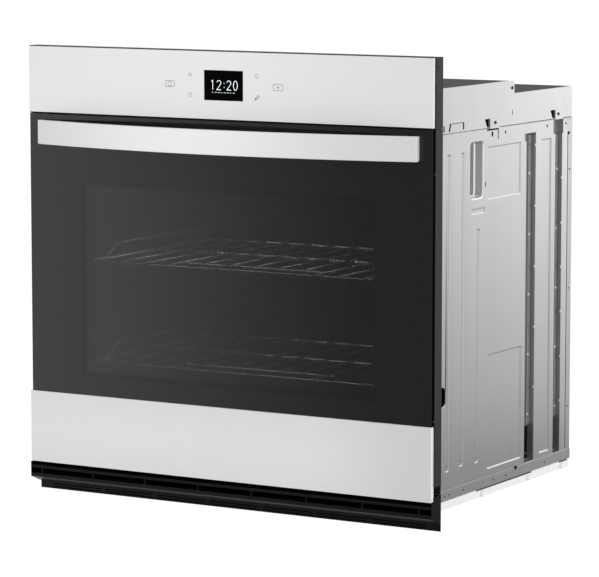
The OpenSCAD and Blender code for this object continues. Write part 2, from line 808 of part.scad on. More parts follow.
// Folded sheet frame round the window, with a shelf that holds the middle pane off the outer one
module door_glass_frame() {
    t = 1.2;
    hw = window_hw + 21;
    z0 = window_z0 - 19;
    z1 = window_z1 + 21;
    color("silver") difference() {
        block(-hw, hw, glass_y + t, -0.2, z0, z1);
        block(-window_hw - 3, window_hw + 3, glass_y, 1, window_z0 - 3, window_z1 + 3);
        block(-hw + t, hw - t, glass_y + 2 * t, shelf_y - t, z0 + t, z1 - t);
        block(-hw + t, hw - t, shelf_y, 1, z0 + t, z1 - t);
    }
}

// Bowed handle: a flat-faced strip swept along a wide arc
module handle_bar() {
    half_angle = asin(handle_w / 2 / handle_r);
    color("white") translate([0, handle_y + handle_r, handle_z]) rotate([0, 0, -90 - half_angle])
        rotate_extrude(angle = 2 * half_angle, $fn = 96)
            round_rect(handle_r - handle_t, handle_r, -handle_h / 2, handle_h / 2, 2.5);
}

// Feet that carry the handle's ends off the glass, sloped to the bar's back
module handle_mounts() {
    x0 = handle_w / 2 - 20;
    x1 = handle_w / 2 - 2;
    foot_h = handle_h - 2;
    color("white") both() translate([0, 0, handle_z - foot_h / 2]) linear_extrude(foot_h)
        polygon([[x0, -front_d], [x1, -front_d], [x1, handle_back(x1)], [x0, handle_back(x0)]]);
}

// ---------------------------------------------------------------- racks

// Wire rack with a hand gap in its front, its side wires on the ledges
module rack(z) {
    gap_hw = 125;
    gap_y = 75;
    count = 13;
    margin = 22;
    pitch = 2 * (rack_hw - margin) / (count - 1);
    grid_z = rack_r + grid_r - 0.7;
    color("silver") translate([0, 0, z]) {
        for (y = [rack_y0, 228, rack_y1]) bar_x([-rack_hw, y, 0], rack_r, 2 * rack_hw);
        bar_x([-gap_hw - 20, gap_y, 0], rack_r, 2 * gap_hw + 40);
        for (s = [-1, 1]) {
            bar_y([s * rack_hw, rack_y0, 0], side_r, rack_y1 - rack_y0);
            for (y = [rack_y0, rack_y1]) translate([s * rack_hw, y, 0]) sphere(side_r + 0.1);
        }
        for (i = [0:count - 1]) {
            x = -rack_hw + margin + pitch * i;
            y0 = (abs(x) < gap_hw ? gap_y : rack_y0) - 2;
            bar_y([x, y0, grid_z], grid_r, rack_y1 + 2 - y0);
        }
    }
}

// Raised side rails of a rack, welded on its side wires, that stop it from tipping
module rack_rails(z) {
    rail_r = 2.8;
    rail_z = 27;
    y0 = 78;
    y1 = 108;
    y2 = rack_y1 - 12;
    rise = atan2(rail_z, y1 - y0);
    color("silver") both() translate([rack_hw, 0, z]) difference() {
        union() {
            bar_y([0, y1, rail_z], rail_r, y2 - y1);
            for (y = [y1, y2]) translate([0, y, rail_z]) sphere(rail_r + 0.15);
            translate([0, y0, 0]) rotate([rise - 90, 0, 0])
                cylinder(r = rail_r, h = norm([rail_z, y1 - y0]));
            bar_z([0, y2, 0], rail_r, rail_z);
        }
        block(-2 * rail_r, 2 * rail_r, y0 - 10, y2 + 10, -side_r, side_r + 0.02);
    }
}

// ---------------------------------------------------------------- nodes

front_frame();
left() side_trim();  // side_trim_left
side_trim();  // side_trim_right
console_frame();
control_panel();
display_window();
control_board();
left() side_panel();  // side_panel_left
side_panel();  // side_panel_right
left() upper_side();  // upper_side_left
upper_side();  // upper_side_right
top_cover_front();
top_cover_rear();
rear_panel();
rear_cover();
base_pan();
base_frame();
vent_trim();
air_deck();
left() liner_side();  // liner_left
liner_side();  // liner_right
liner_top();
liner_bottom();
liner_back();
insulation();
broil_element();
bake_element();
fan_baffle();
fan_motor();
fan_wheel();
lamp_housing();
lamp_lens();
temperature_probe();
door_gasket();
hinge_receivers();
hinge_arms();
blower_housing();
blower_motor();
blower_wheel();
junction_box();
junction_cover();
terminal_block();
switch_body();
switch_plunger();
body_screws();
door_outer_glass();
door_lower_trim();
door_top_trim();
door_inner_pan();
door_inner_glass();
door_middle_glass();
door_glass_frame();
handle_bar();
handle_mounts();
hinge_bodies();
hinge_pins();
rack(rack_z(upper_level));  // rack_upper
rack_rails(rack_z(upper_level));  // rack_rails_upper
rack(rack_z(lower_level));  // rack_lower
rack_rails(rack_z(lower_level));  // rack_rails_lower
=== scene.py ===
"""Looks of a built-in single wall oven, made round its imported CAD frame.

Lengths in this file are millimetres in the CAD's own frame: +Z up, front towards -Y, the origin on
the cut-out floor in the plane of the cabinet face. MM turns them into Blender's metres.
"""

import json
import math

import bmesh
import bpy
from mathutils import Matrix, Vector, noise

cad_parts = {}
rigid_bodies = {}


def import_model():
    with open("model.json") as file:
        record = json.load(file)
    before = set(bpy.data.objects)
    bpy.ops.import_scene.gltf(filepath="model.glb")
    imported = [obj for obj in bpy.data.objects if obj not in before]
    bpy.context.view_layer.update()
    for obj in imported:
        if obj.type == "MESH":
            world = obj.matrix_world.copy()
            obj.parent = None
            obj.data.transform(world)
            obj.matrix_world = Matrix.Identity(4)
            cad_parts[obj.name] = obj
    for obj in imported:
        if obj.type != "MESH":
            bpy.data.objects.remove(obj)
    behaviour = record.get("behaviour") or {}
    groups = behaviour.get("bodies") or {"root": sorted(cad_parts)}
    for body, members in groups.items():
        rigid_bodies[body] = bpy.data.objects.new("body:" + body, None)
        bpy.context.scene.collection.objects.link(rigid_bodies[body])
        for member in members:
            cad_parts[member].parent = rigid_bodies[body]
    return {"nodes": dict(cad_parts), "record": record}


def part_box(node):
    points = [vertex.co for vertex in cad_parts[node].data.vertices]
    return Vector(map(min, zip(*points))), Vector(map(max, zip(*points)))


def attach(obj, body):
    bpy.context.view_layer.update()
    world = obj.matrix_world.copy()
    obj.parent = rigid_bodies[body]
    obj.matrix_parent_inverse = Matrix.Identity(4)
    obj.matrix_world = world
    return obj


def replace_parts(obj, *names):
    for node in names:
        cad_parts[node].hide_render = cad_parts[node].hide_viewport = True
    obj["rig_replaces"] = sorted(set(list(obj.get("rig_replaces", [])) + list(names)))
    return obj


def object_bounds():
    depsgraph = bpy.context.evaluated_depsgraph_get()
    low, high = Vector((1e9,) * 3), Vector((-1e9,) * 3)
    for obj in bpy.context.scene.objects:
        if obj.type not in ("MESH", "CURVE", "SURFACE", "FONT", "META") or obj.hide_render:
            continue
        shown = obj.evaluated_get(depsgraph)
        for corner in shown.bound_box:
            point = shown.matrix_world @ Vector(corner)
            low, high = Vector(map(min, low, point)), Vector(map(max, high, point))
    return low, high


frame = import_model()
cad_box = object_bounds()
MM = 0.001
RIGHT, LEFT = 1, -1


def corners(node):
    """Lowest and highest corner of a CAD node, in millimetres."""
    lo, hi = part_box(node)
    return lo / MM, hi / MM


# ---------------------------------------------------------------- material nodes


class Graph:
    """One material's node tree, made a node at a time."""

    def __init__(self, name):
        self.material = bpy.data.materials.new(name)
        self.material.use_nodes = True
        self.tree = self.material.node_tree
        self.tree.nodes.clear()
        self.output = self.tree.nodes.new("ShaderNodeOutputMaterial")
        self.object = self.tree.nodes.new("ShaderNodeTexCoord").outputs["Object"]

    def set(self, socket, value):
        if isinstance(value, bpy.types.NodeSocket):
            self.tree.links.new(value, socket)
        elif socket.type == "RGBA":
            socket.default_value = colour(value)
        else:
            socket.default_value = value

    def node(self, kind, props=None, **inputs):
        """A node; an input's name is written with underscores for its spaces."""
        made = self.tree.nodes.new("ShaderNode" + kind)
        for key, value in (props or {}).items():
            setattr(made, key, value)
        for key, value in inputs.items():
            self.set(made.inputs[key.replace("_", " ")], value)
        return made

    def math(self, operation, a, b=0.0):
        made = self.node("Math", {"operation": operation})
        self.set(made.inputs[0], a)
        self.set(made.inputs[1], b)
        return made.outputs[0]

    def mix(self, factor, a, b):
        """Colour a where factor is 0, b where it is 1."""
        made = self.node("Mix", {"data_type": "RGBA"})
        self.set(made.inputs[0], factor)
        self.set(made.inputs[6], a)
        self.set(made.inputs[7], b)
        return made.outputs[2]

    def stretched(self, scale):
        """Object coordinates scaled along each axis."""
        return self.node("Mapping", Vector=self.object, Scale=scale).outputs["Vector"]

    def noise(self, scale, detail=3.0, stretch=None):
        """Noise from 0 to 1, scale in cycles per metre."""
        where = self.stretched(stretch) if stretch else self.object
        made = self.node("TexNoise", Vector=where, Scale=scale, Detail=detail)
        return made.outputs["Fac"]

    def ramp(self, value, low, high, a, b):
        """Number a where value is below low, b where it is above high."""
        made = self.node("MapRange", {"clamp": True})
        for index, number in enumerate((value, low, high, a, b)):
            self.set(made.inputs[index], number)
        return made.outputs[0]

    def bump(self, height, distance, strength=1.0, under=None):
        made = self.node("Bump", Height=height, Distance=distance, Strength=strength)
        if under is not None:
            self.set(made.inputs["Normal"], under)
        return made.outputs["Normal"]

    def surface(self, **inputs):
        return self.node("BsdfPrincipled", **inputs).outputs[0]

    def done(self, shader):
        self.set(self.output.inputs["Surface"], shader)
        return self.material


def colour(value):
    """A four-part colour from a grey or from three parts."""
    if isinstance(value, (int, float)):
        return (value, value, value, 1.0)
    return (*value[:3], 1.0)


def galvanised(name, dark, light, rough=0.3, edge=1.0):
    """Zinc-coated sheet: very faint crystals, streaks from rolling, and a slight ripple.

    edge tints what it reflects at a glancing angle.
    """
    g = Graph(name)
    crystals = g.node("TexVoronoi", {"feature": "F1"}, Vector=g.stretched((1, 1, 1.6)), Scale=170.0)
    tint = g.node("SeparateColor", Color=crystals.outputs["Color"]).outputs[0]
    streaks = g.noise(34.0, 4.0, (1.0, 1.0, 0.04))
    clouds = g.noise(7.0, 2.0)
    tone = g.math("ADD", g.math("MULTIPLY", tint, 0.12), g.math("MULTIPLY", streaks, 0.6))
    tone = g.math("ADD", tone, g.math("MULTIPLY", clouds, 0.3))
    base = g.mix(g.ramp(tone, 0.25, 0.85, 0.0, 1.0), dark, light)
    gloss = g.ramp(g.noise(30.0, 3.0), 0.3, 0.7, rough - 0.02, rough + 0.03)
    ripple = g.bump(g.noise(6.0, 1.0), 0.0012, 0.12)
    relief = g.bump(g.noise(60.0, 2.0, (1.0, 1.0, 0.05)), 0.00005, 0.3, ripple)
    return g.done(g.surface(Base_Color=base, Metallic=0.9, Roughness=gloss, Normal=relief,
        Specular_Tint=edge))


def painted(name, base, rough, coat=0.0, grain=0.00002, fleck=0.03, specular=0.5):
    """Sprayed paint on sheet metal: fine orange peel, slight cloudiness and a dulled patch or two."""
    g = Graph(name)
    shade = g.ramp(g.noise(12.0, 3.0), 0.3, 0.7, 1.0 - fleck, 1.0 + fleck)
    tinted = g.node("Mix", {"data_type": "RGBA", "blend_type": "MULTIPLY"})
    g.set(tinted.inputs[0], 1.0)
    g.set(tinted.inputs[6], base)
    g.set(tinted.inputs[7], g.node("CombineColor", Red=shade, Green=shade, Blue=shade).outputs[0])
    gloss = g.ramp(g.noise(35.0, 3.0), 0.3, 0.75, rough * 0.97, rough * 1.06)
    peel = g.bump(g.noise(260.0, 2.0), grain, 0.4)
    return g.done(g.surface(Base_Color=tinted.outputs[2], Roughness=gloss, Normal=peel,
        Coat_Weight=coat, Coat_Roughness=0.06, Specular_IOR_Level=specular))


def enamel(name):
    """Blue-black vitreous enamel with fine pale flecks."""
    g = Graph(name)
    specks = g.node("TexVoronoi", {"feature": "F1"}, Vector=g.object, Scale=420.0, Randomness=1.0)
    chosen = g.node("SeparateColor", Color=specks.outputs["Color"]).outputs[1]
    near = g.math("LESS_THAN", specks.outputs["Distance"], 0.22)
    fleck = g.math("MULTIPLY", near, g.math("GREATER_THAN", chosen, 0.72))
    ground = g.mix(g.noise(20.0, 3.0), (0.012, 0.014, 0.02), (0.022, 0.025, 0.033))
    base = g.mix(fleck, ground, (0.035, 0.038, 0.045))
    relief = g.bump(g.noise(120.0, 2.0), 0.0002, 0.3)
    return g.done(g.surface(Base_Color=base, Roughness=g.ramp(g.noise(40.0), 0.3, 0.7, 0.26, 0.4),
        Normal=relief, Coat_Weight=0.2, Coat_Roughness=0.1))


def metal(name, dark, light, rough, brushed=(1, 1, 1), scale=300.0, depth=0.00003, metallic=1.0):
    """Bare metal with a brushed or drawn grain along the axis that brushed shrinks."""
    g = Graph(name)
    grain = g.noise(scale, 5.0, brushed)
    base = g.mix(g.ramp(grain, 0.3, 0.7, 0.0, 1.0), dark, light)
    stain = g.ramp(g.noise(14.0, 3.0), 0.35, 0.7, rough * 0.85, rough * 1.35)
    return g.done(g.surface(Base_Color=base, Metallic=metallic, Roughness=stain,
        Normal=g.bump(grain, depth, 0.5)))


def sheer(g, tint, rough):
    """Thin glass: what is behind it shows through tint, with a reflection on top."""
    through = g.node("BsdfTransparent", Color=tint).outputs[0]
    gleam = g.node("BsdfGlossy", Color=0.9, Roughness=rough).outputs[0]
    share = g.node("Fresnel", IOR=1.5).outputs[0]
    made = g.node("MixShader")
    for index, part in enumerate((share, through, gleam)):
        g.set(made.inputs[index], part)
    return made.outputs[0]


def clear_glass(name):
    """Clear heat-proof glass, with the faint waviness of rolled sheet."""
    g = Graph(name)
    tint = g.mix(g.noise(5.0, 2.0), (0.9, 0.92, 0.91), (0.94, 0.95, 0.95))
    return g.done(sheer(g, tint, 0.03))


def door_glass(name, half_w, z0, z1):
    """Black glass, printed all over but for the clear tinted window between these heights."""
    g = Graph(name)
    at = g.node("SeparateXYZ", Vector=g.object)
    inside_x = g.math("SUBTRACT", half_w * MM, g.math("ABSOLUTE", at.outputs["X"]))
    inside_z = g.math("MINIMUM", g.math("SUBTRACT", at.outputs["Z"], z0 * MM),
        g.math("SUBTRACT", z1 * MM, at.outputs["Z"]))
    window = g.ramp(g.math("MINIMUM", inside_x, inside_z), -1.0 * MM, 9.0 * MM, 0.0, 1.0)
    smear = g.ramp(g.noise(6.0, 4.0, (1.0, 1.0, 0.5)), 0.35, 0.75, 0.012, 0.05)
    print_base = g.mix(g.noise(90.0, 2.0), 0.004, 0.006)
    border = g.surface(Base_Color=print_base, Roughness=smear)
    tint = g.mix(g.noise(5.0, 2.0), (0.44, 0.45, 0.46), (0.48, 0.49, 0.5))
    made = g.node("MixShader")
    for index, part in enumerate((window, border, sheer(g, tint, 0.02))):
        g.set(made.inputs[index], part)
    return g.done(made.outputs[0])


def fibre(name, dark, light):
    """Matted mineral wool."""
    g = Graph(name)
    strands = g.noise(160.0, 8.0, (1.0, 0.35, 1.0))
    base = g.mix(g.ramp(strands, 0.3, 0.7, 0.0, 1.0), dark, light)
    return g.done(g.surface(Base_Color=base, Roughness=0.95, Sheen_Weight=0.3,
        Normal=g.bump(strands, 0.002, 0.9)))


def braid(name):
    """Woven glass-fibre sleeve: crossing diagonal bands."""
    g = Graph(name)
    bands = [g.node("TexWave", {"bands_direction": "DIAGONAL"}, Vector=g.stretched(turn),
        Scale=260.0, Distortion=1.0).outputs["Fac"] for turn in ((1, 1, 1), (-1, 1, 1))]
    weave = g.math("MAXIMUM", *bands)
    base = g.mix(weave, (0.1, 0.1, 0.1), (0.42, 0.42, 0.4))
    return g.done(g.surface(Base_Color=base, Roughness=0.8, Normal=g.bump(weave, 0.0006, 0.9)))


def board(name):
    """Green circuit board: solder mask over faint tracks, with pale pads."""
    g = Graph(name)
    tracks = g.node("TexBrick", Vector=g.stretched((1, 0, 1)), Scale=90.0, Mortar_Size=0.03,
        Color1=(0.0, 0.12, 0.04), Color2=(0.0, 0.09, 0.03), Mortar=(0.02, 0.22, 0.08))
    pads = g.math("LESS_THAN", g.node("TexVoronoi", Vector=g.object, Scale=190.0)
        .outputs["Distance"], 0.16)
    base = g.mix(pads, tracks.outputs["Color"], (0.5, 0.48, 0.42))
    return g.done(g.surface(Base_Color=base, Roughness=0.35, Normal=g.bump(pads, 0.0003, 0.5)))


def plastic(name, base, rough):
    """Moulded plastic with a fine spark-eroded grain."""
    g = Graph(name)
    grain = g.noise(1400.0, 3.0)
    shade = g.mix(g.ramp(grain, 0.3, 0.7, 0.0, 1.0), [c * 0.9 for c in base], base)
    return g.done(g.surface(Base_Color=shade, Roughness=g.ramp(grain, 0.3, 0.7, rough, rough + 0.1),
        Normal=g.bump(grain, 0.00004, 0.6)))


def printed(name, base):
    """Ceramic ink fired on glass: thin, even and slightly rough."""
    g = Graph(name)
    dots = g.noise(2500.0, 2.0)
    shade = g.mix(dots, [c * 0.93 for c in base], base)
    return g.done(g.surface(Base_Color=shade, Roughness=g.ramp(dots, 0.3, 0.7, 0.3, 0.45)))


def lit(name, base, glow):
    """A lit segment of the clock."""
    g = Graph(name)
    dots = g.mix(g.noise(1800.0, 2.0), [c * 0.9 for c in base], base)
    return g.done(g.surface(Base_Color=dots, Roughness=0.4, Emission_Color=base,
        Emission_Strength=glow))


WINDOW_HW, WINDOW_Z0, WINDOW_Z1 = 278.5, 177, 501

LOOKS = {
    "white_glass": painted("white_glass", (0.63, 0.632, 0.635), 0.12, 0.4, 0.000002, 0.004),
    "white_paint": painted("white_paint", (0.555, 0.559, 0.564), 0.3, 0.2, 0.00001, 0.008),
    "handle_paint": painted("handle_paint", (0.525, 0.527, 0.53), 0.3, 0.2, 0.00001, 0.004),
    "rail_paint": painted("rail_paint", (0.6, 0.602, 0.605), 0.35, 0.1, 0.00001, 0.01),
    "black_glass": painted("black_glass", (0.006, 0.006, 0.007), 0.04, 0.2, 0.000002),
    "display_glass": painted("display_glass", (0.001, 0.001, 0.0012), 0.3, 0.0, 0.000002,
        specular=0.02),
    # painted shade: near-black with almost no reflection, for the sheet behind the vent's slots
    "shade_black": painted("shade_black", (0.0015, 0.0015, 0.0016), 0.6, specular=0.02),
    "door_glass": door_glass("door_glass", WINDOW_HW, WINDOW_Z0, WINDOW_Z1),
    "clear_glass": clear_glass("clear_glass"),
    "galvanised": galvanised("galvanised", (0.6, 0.603, 0.607), (0.66, 0.663, 0.667)),
    "shadowed_sheet": galvanised("shadowed_sheet", (0.36, 0.36, 0.365), (0.42, 0.42, 0.425), 0.4),
    # painted shade: a darker copy of the galvanised sheet for the top covers, dark for how little
    # light falls on the top
    "shaded_top_sheet": galvanised("shaded_top_sheet", (0.15, 0.15, 0.152), (0.2, 0.2, 0.202), 0.42, 0.09),
    # painted shade: a darker copy of the galvanised sheet for the floors of the lifting pockets
    "shaded_pocket_floor": galvanised("shaded_pocket_floor", (0.24, 0.24, 0.243), (0.3, 0.3, 0.303), 0.4),
    # painted highlight: a brighter, glossier copy of the galvanised sheet for the pocket's rounded
    # lip and foot
    "highlit_bend": galvanised("highlit_bend", (0.86, 0.862, 0.865), (0.93, 0.932, 0.935), 0.22),
    "trim_grey": painted("trim_grey", (0.022, 0.0222, 0.0228), 0.45, 0.0, 0.00003, 0.02, 0.1),
    "black_paint": painted("black_paint", (0.004, 0.004, 0.0044), 0.36, 0.0, 0.00004,
        specular=0.13),
    "enamel": enamel("enamel"),
    "bright_wire": metal("bright_wire", 0.5, 0.65, 0.24, scale=500.0, metallic=0.9),
    "rivet_steel": metal("rivet_steel", 0.62, 0.8, 0.3, scale=500.0),
    "heater_rod": metal("heater_rod", (0.06, 0.055, 0.05), (0.13, 0.12, 0.11), 0.55, metallic=0.7),
    "bare_steel": metal("bare_steel", 0.38, 0.56, 0.34, (1, 1, 0.05)),
    "black_screw": metal("black_screw", 0.03, 0.07, 0.4, metallic=0.8),
    "motor_paint": painted("motor_paint", (0.05, 0.052, 0.055), 0.45, 0.0, 0.00012),
    "fan_sheet": metal("fan_sheet", 0.22, 0.34, 0.4, (1, 0.1, 1)),
    "black_plastic": plastic("black_plastic", (0.016, 0.016, 0.017), 0.45),
    "white_plastic": plastic("white_plastic", (0.75, 0.75, 0.73), 0.4),
    "board": board("board"),
    "fibre": fibre("fibre", (0.28, 0.24, 0.14), (0.6, 0.54, 0.36)),
    "seal": braid("seal"),
    "ceramic": plastic("ceramic", (0.72, 0.68, 0.58), 0.5),
    "grey_print": printed("grey_print", (0.19, 0.195, 0.2)),
    "clock_light": lit("clock_light", (0.8, 0.86, 0.9), 0.6),
}


# ---------------------------------------------------------------- mesh helpers


def piece(name, bm, body, looks, node_names=(), smooth_deg=32.0):
    """Makes a Blender object of bm, in millimetres, that rides on a CAD body."""
    bmesh.ops.scale(bm, vec=(MM, MM, MM), verts=bm.verts)
    mesh = bpy.data.meshes.new(name)
    for face in bm.faces:
        face.smooth = True
    bm.to_mesh(mesh)
    bm.free()
    mesh.set_sharp_from_angle(angle=math.radians(smooth_deg))
    made = bpy.data.objects.new(name, mesh)
    bpy.context.scene.collection.objects.link(made)
    for look in looks:
        mesh.materials.append(LOOKS[look])
    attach(made, body)
    if node_names:
        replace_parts(made, *node_names)
    return made


def bevelled(made, width, segments=2, angle_deg=35.0):
    """Rounds an object's sharp edges by width millimetres."""
    bevel = made.modifiers.new("edges", "BEVEL")
    bevel.width = width * MM
    bevel.segments = segments
    bevel.limit_method = "ANGLE"
    bevel.angle_limit = math.radians(angle_deg)
    bevel.miter_outer = "MITER_ARC"
    weighted = made.modifiers.new("shading", "WEIGHTED_NORMAL")
    weighted.keep_sharp = False
    return made


# plates with so many holes that their faces stay in triangles
PIERCED = (
    "rear_panel", "rear_cover", "fan_baffle", "liner_right", "liner_left", "door_top_trim",
    "vent_trim",
)


def dress(node, look, edge=0.35):
    """Gives a CAD node its material and broken edges, its vertices untouched."""
    made = frame["nodes"][node]
    made.data.materials.clear()
    made.data.materials.append(LOOKS[look])
    for face in made.data.polygons:
        face.use_smooth = True
        face.material_index = 0
    weld = made.modifiers.new("weld", "WELD")
    weld.merge_threshold = 0.002 * MM
    if node not in PIERCED:
        flat = made.modifiers.new("flat", "DECIMATE")
        flat.decimate_type = "DISSOLVE"
        flat.angle_limit = math.radians(0.4)
    bevelled(made, edge)


def fillet(points, radius, steps=5):
    """A 3-D polyline with its inner corners rounded."""
    points = [Vector(p) for p in points]
    made = [points[0]]
    for before, at, after in zip(points, points[1:], points[2:]):
        a = (before - at).normalized()
        b = (after - at).normalized()
        half = a.angle(b) / 2
        reach = radius / math.tan(half)
        centre = at + (a + b).normalized() * radius / math.sin(half)
        start = at + a * reach - centre
        end = at + b * reach - centre
        for k in range(steps + 1):
            made.append(centre + start.slerp(end, k / steps))
    made.append(points[-1])
    return made


def sweep(bm, path, section, closed=False, up=None):
    """Carries a closed section of (across, up) offsets along a path, and caps an open one.

    With up given, the path lies square to it and its corners are mitred.
    """
    path = [Vector(p) for p in path]
    count = len(path)
    rings = []
    guide = Vector(up) if up else None
    for k, at in enumerate(path):
        before = path[(k - 1) % count] if closed or k else at
        after = path[(k + 1) % count] if closed or k < count - 1 else at
        arriving = (at - before).normalized()
        along = (arriving + (after - at).normalized()).normalized()
        mitre = 1 / along.dot(arriving) if up and arriving.length else 1.0
        if guide is None:
            guide = along.orthogonal().normalized()
        across = along.cross(guide).normalized()
        if up is None:
            guide = across.cross(along).normalized()
        lift = across.cross(along).normalized()
        rings.append([bm.verts.new(at + across * u * mitre + lift * v) for u, v in section])
    pairs = list(zip(rings, rings[1:]))
    if closed:
        pairs.append((rings[-1], rings[0]))
    size = len(section)
    for low, high in pairs:
        for k in range(size):
            n = (k + 1) % size
            bm.faces.new((low[k], low[n], high[n], high[k]))
    if not closed:
        bm.faces.new(rings[0])
        bm.faces.new(reversed(rings[-1]))


def circle(radius, sides=12):
    """Points round a circle, as a section for sweep."""
    turn = math.tau / sides
    return [(radius * math.cos(turn * k), radius * math.sin(turn * k)) for k in range(sides)]


def wire(bm, path, radius, sides=12):
    """A round wire along an open path."""
    sweep(bm, path, circle(radius, sides))


def lathe(bm, profile, origin, axis, sides=24):
    """Turns (radius, height) pairs about an axis through origin, height along the axis."""
    axis = Vector(axis).normalized()
    side = axis.orthogonal().normalized()
    other = axis.cross(side)
    origin = Vector(origin)
    rings = []
    for radius, height in profile:
        if radius == 0:
            rings.append([bm.verts.new(origin + axis * height)])
            continue
        rings.append([bm.verts.new(origin + axis * height + side * u + other * v)
            for u, v in circle(radius, sides)])
    for low, high in zip(rings, rings[1:]):
        for k in range(sides):
            n = (k + 1) % sides
            ring = [low[k % len(low)], low[n % len(low)], high[n % len(high)], high[k % len(high)]]
            bm.faces.new(list(dict.fromkeys(ring)))


def block(bm, lo, hi):
    """A box between two corners."""
    for vert in bmesh.ops.create_cube(bm, size=1.0)["verts"]:
        vert.co = Vector([lo[k] if vert.co[k] < 0 else hi[k] for k in range(3)])


# ---------------------------------------------------------------- pressed sheet


def rounded(outline, radius, grow=0.0, steps=4):
    """An anticlockwise outline grown outwards, each corner rounded with steps + 1 points."""
    points = [Vector(p) for p in outline]
    made = []
    for k, at in enumerate(points):
        d1 = (at - points[k - 1]).normalized()
        d2 = (points[(k + 1) % len(points)] - at).normalized()
        n1 = Vector((d1.y, -d1.x))
        n2 = Vector((d2.y, -d2.x))
        turn = math.atan2(d1.cross(d2), d1.dot(d2))
        bend = 1 if turn > 0 else -1
        r = max(0.05, radius + bend * grow)
        at = at + (n1 + n2) * grow / (1 + n1.dot(n2))
        centre = at - d1 * r * math.tan(abs(turn) / 2) - n1 * r * bend
        for step in range(steps + 1):
            made.append(centre + Matrix.Rotation(turn * step / steps, 2) @ n1 * r * bend)
    return made


def box_outline(a0, a1, b0, b1):
    """A rectangle's corners, anticlockwise."""
    return [(a0, b0), (a1, b0), (a1, b1), (a0, b1)]


class Form:
    """Something pressed or cut in a sheet: rings of (grow, depth, material), then its floor."""

    def __init__(self, outline, radius, rings=(), floor=True, inside=(), steps=4, inner=0):
        self.outline = outline
        self.radius = radius
        self.rings = rings
        self.floor = floor
        self.inside = inside
        self.steps = steps
        self.inner = inner


def hole(a, b, radius):
    """A round hole."""
    edge = radius * 0.999
    return Form(box_outline(a - edge, a + edge, b - edge, b + edge), radius * 0.99, floor=False)


def press(bm, place, form, depth, material=0):
    """Builds a form's rings and floor. place turns (a, b, depth) into a point. Returns its rim."""

    def ring(grow, at_depth):
        points = rounded(form.outline, form.radius, grow, form.steps)
        return [bm.verts.new(place(p.x, p.y, at_depth)) for p in points]

    rim = ring(0.0, depth)
    last = rim
    for grow, at_depth, wall in form.rings:
        following = ring(grow, at_depth)
        for k in range(len(last)):
            n = (k + 1) % len(last)
            bm.faces.new((last[k], last[n], following[n], following[k])).material_index = wall
        last = following
        depth = at_depth
    if form.floor:
        loops = [last] + [press(bm, place, f, depth, form.inner) for f in form.inside]
        edges = []
        for loop in loops:
            for k in range(len(loop)):
                pair = (loop[k], loop[(k + 1) % len(loop)])
                edges.append(bm.edges.get(pair) or bm.edges.new(pair))
        filled = bmesh.ops.triangle_fill(bm, use_beauty=True, edges=edges)["geom"]
        for face in filled:
            if isinstance(face, bmesh.types.BMFace):
                face.material_index = form.inner if form.rings else material
    return rim


def sheet(name, forms, place, outward, thickness, body, looks, node_names=(), edge=0.25):
    """Pressed sheet metal: each form is one sheet, its outer face on place's zero depth."""
    bm = bmesh.new()
    for form in forms:
        press(bm, place, form, 0.0)
    bmesh.ops.remove_doubles(bm, verts=bm.verts, dist=0.0005)
    bmesh.ops.recalc_face_normals(bm, faces=bm.faces)
    facing = sum(f.normal.dot(Vector(outward)) * f.calc_area() for f in bm.faces)
    if facing < 0:
        bmesh.ops.reverse_faces(bm, faces=bm.faces)
    made = piece(name, bm, body, looks, node_names)
    solid = made.modifiers.new("sheet", "SOLIDIFY")
    solid.thickness = thickness * MM
    solid.offset = -1.0
    solid.use_even_offset = True
    if edge:
        bevelled(made, edge, 2, 40.0)
    return made


# ---------------------------------------------------------------- chassis sides

SIDE_X = corners("side_panel_right")[1].x
SHEET = 1.2  # thickness of the side sheets
UPPER_Z = 599.0  # lower edge of the upper sides
TAB_LIFT = 2.2  # how far the seam tabs stand off the side


def on_side(side):
    """Places (y, z, depth) on the left or right side of the chassis."""
    return lambda y, z, depth: (side * (SIDE_X - depth), y, z)


def bead(y0, y1, z0, z1, radius, depth=1.6, wall=1.8, inside=()):
    """A shallow pressed recess with sloped walls."""
    rings = ((-0.5, 0.15, 0), (-wall, depth - 0.15, 0), (-wall - 0.6, depth, 0))
    return Form(box_outline(y0, y1, z0, z1), radius, rings, inside=inside)


# outlines of the two channels, as (y, z)
CHANNEL_1 = [(336, 31), (372, 31), (372, 581), (330, 581), (330, 568), (336, 568)]
CHANNEL_2 = [(445, 31), (472, 31), (472, 573), (475.5, 573), (475.5, 597), (437, 597), (437, 573),
    (445, 573)]
CHANNEL_D = 10.0  # depth of the channels
CHANNEL_Z0, OPEN_Z1 = 34, 90  # the stretch where a channel is open at its foot
STRIP_D = 6.5  # depth of the upright strips inside them
POCKET_D = 16.8  # depth of the lifting pockets
QUARTER = [math.radians(18 * k) for k in range(1, 6)]  # steps of a quarter turn
PAN_HOLES = (50, 67, 115, 222, 267, 412)  # holes through the side and the pan's flange, along y
PAN_HOLE_Z = 22


def channel(outline, floor_y, strip_y, strip_z1):
    """A deep vertical channel: an upright strip down its rear half, open at its foot."""
    walls = ((-0.4, 0.4, 0), (-0.6, CHANNEL_D, 1))
    strip = Form(box_outline(*strip_y, OPEN_Z1 + 3, strip_z1), 1.0,
        ((-0.4, CHANNEL_D - 0.6, 1), (-0.7, STRIP_D + 0.5, 1), (-1.3, STRIP_D, 1)), inner=1)
    opening = Form(box_outline(*floor_y, CHANNEL_Z0, OPEN_Z1), 1.5, floor=False)
    return Form(outline, 1.2, walls, inside=(strip, opening), inner=1)


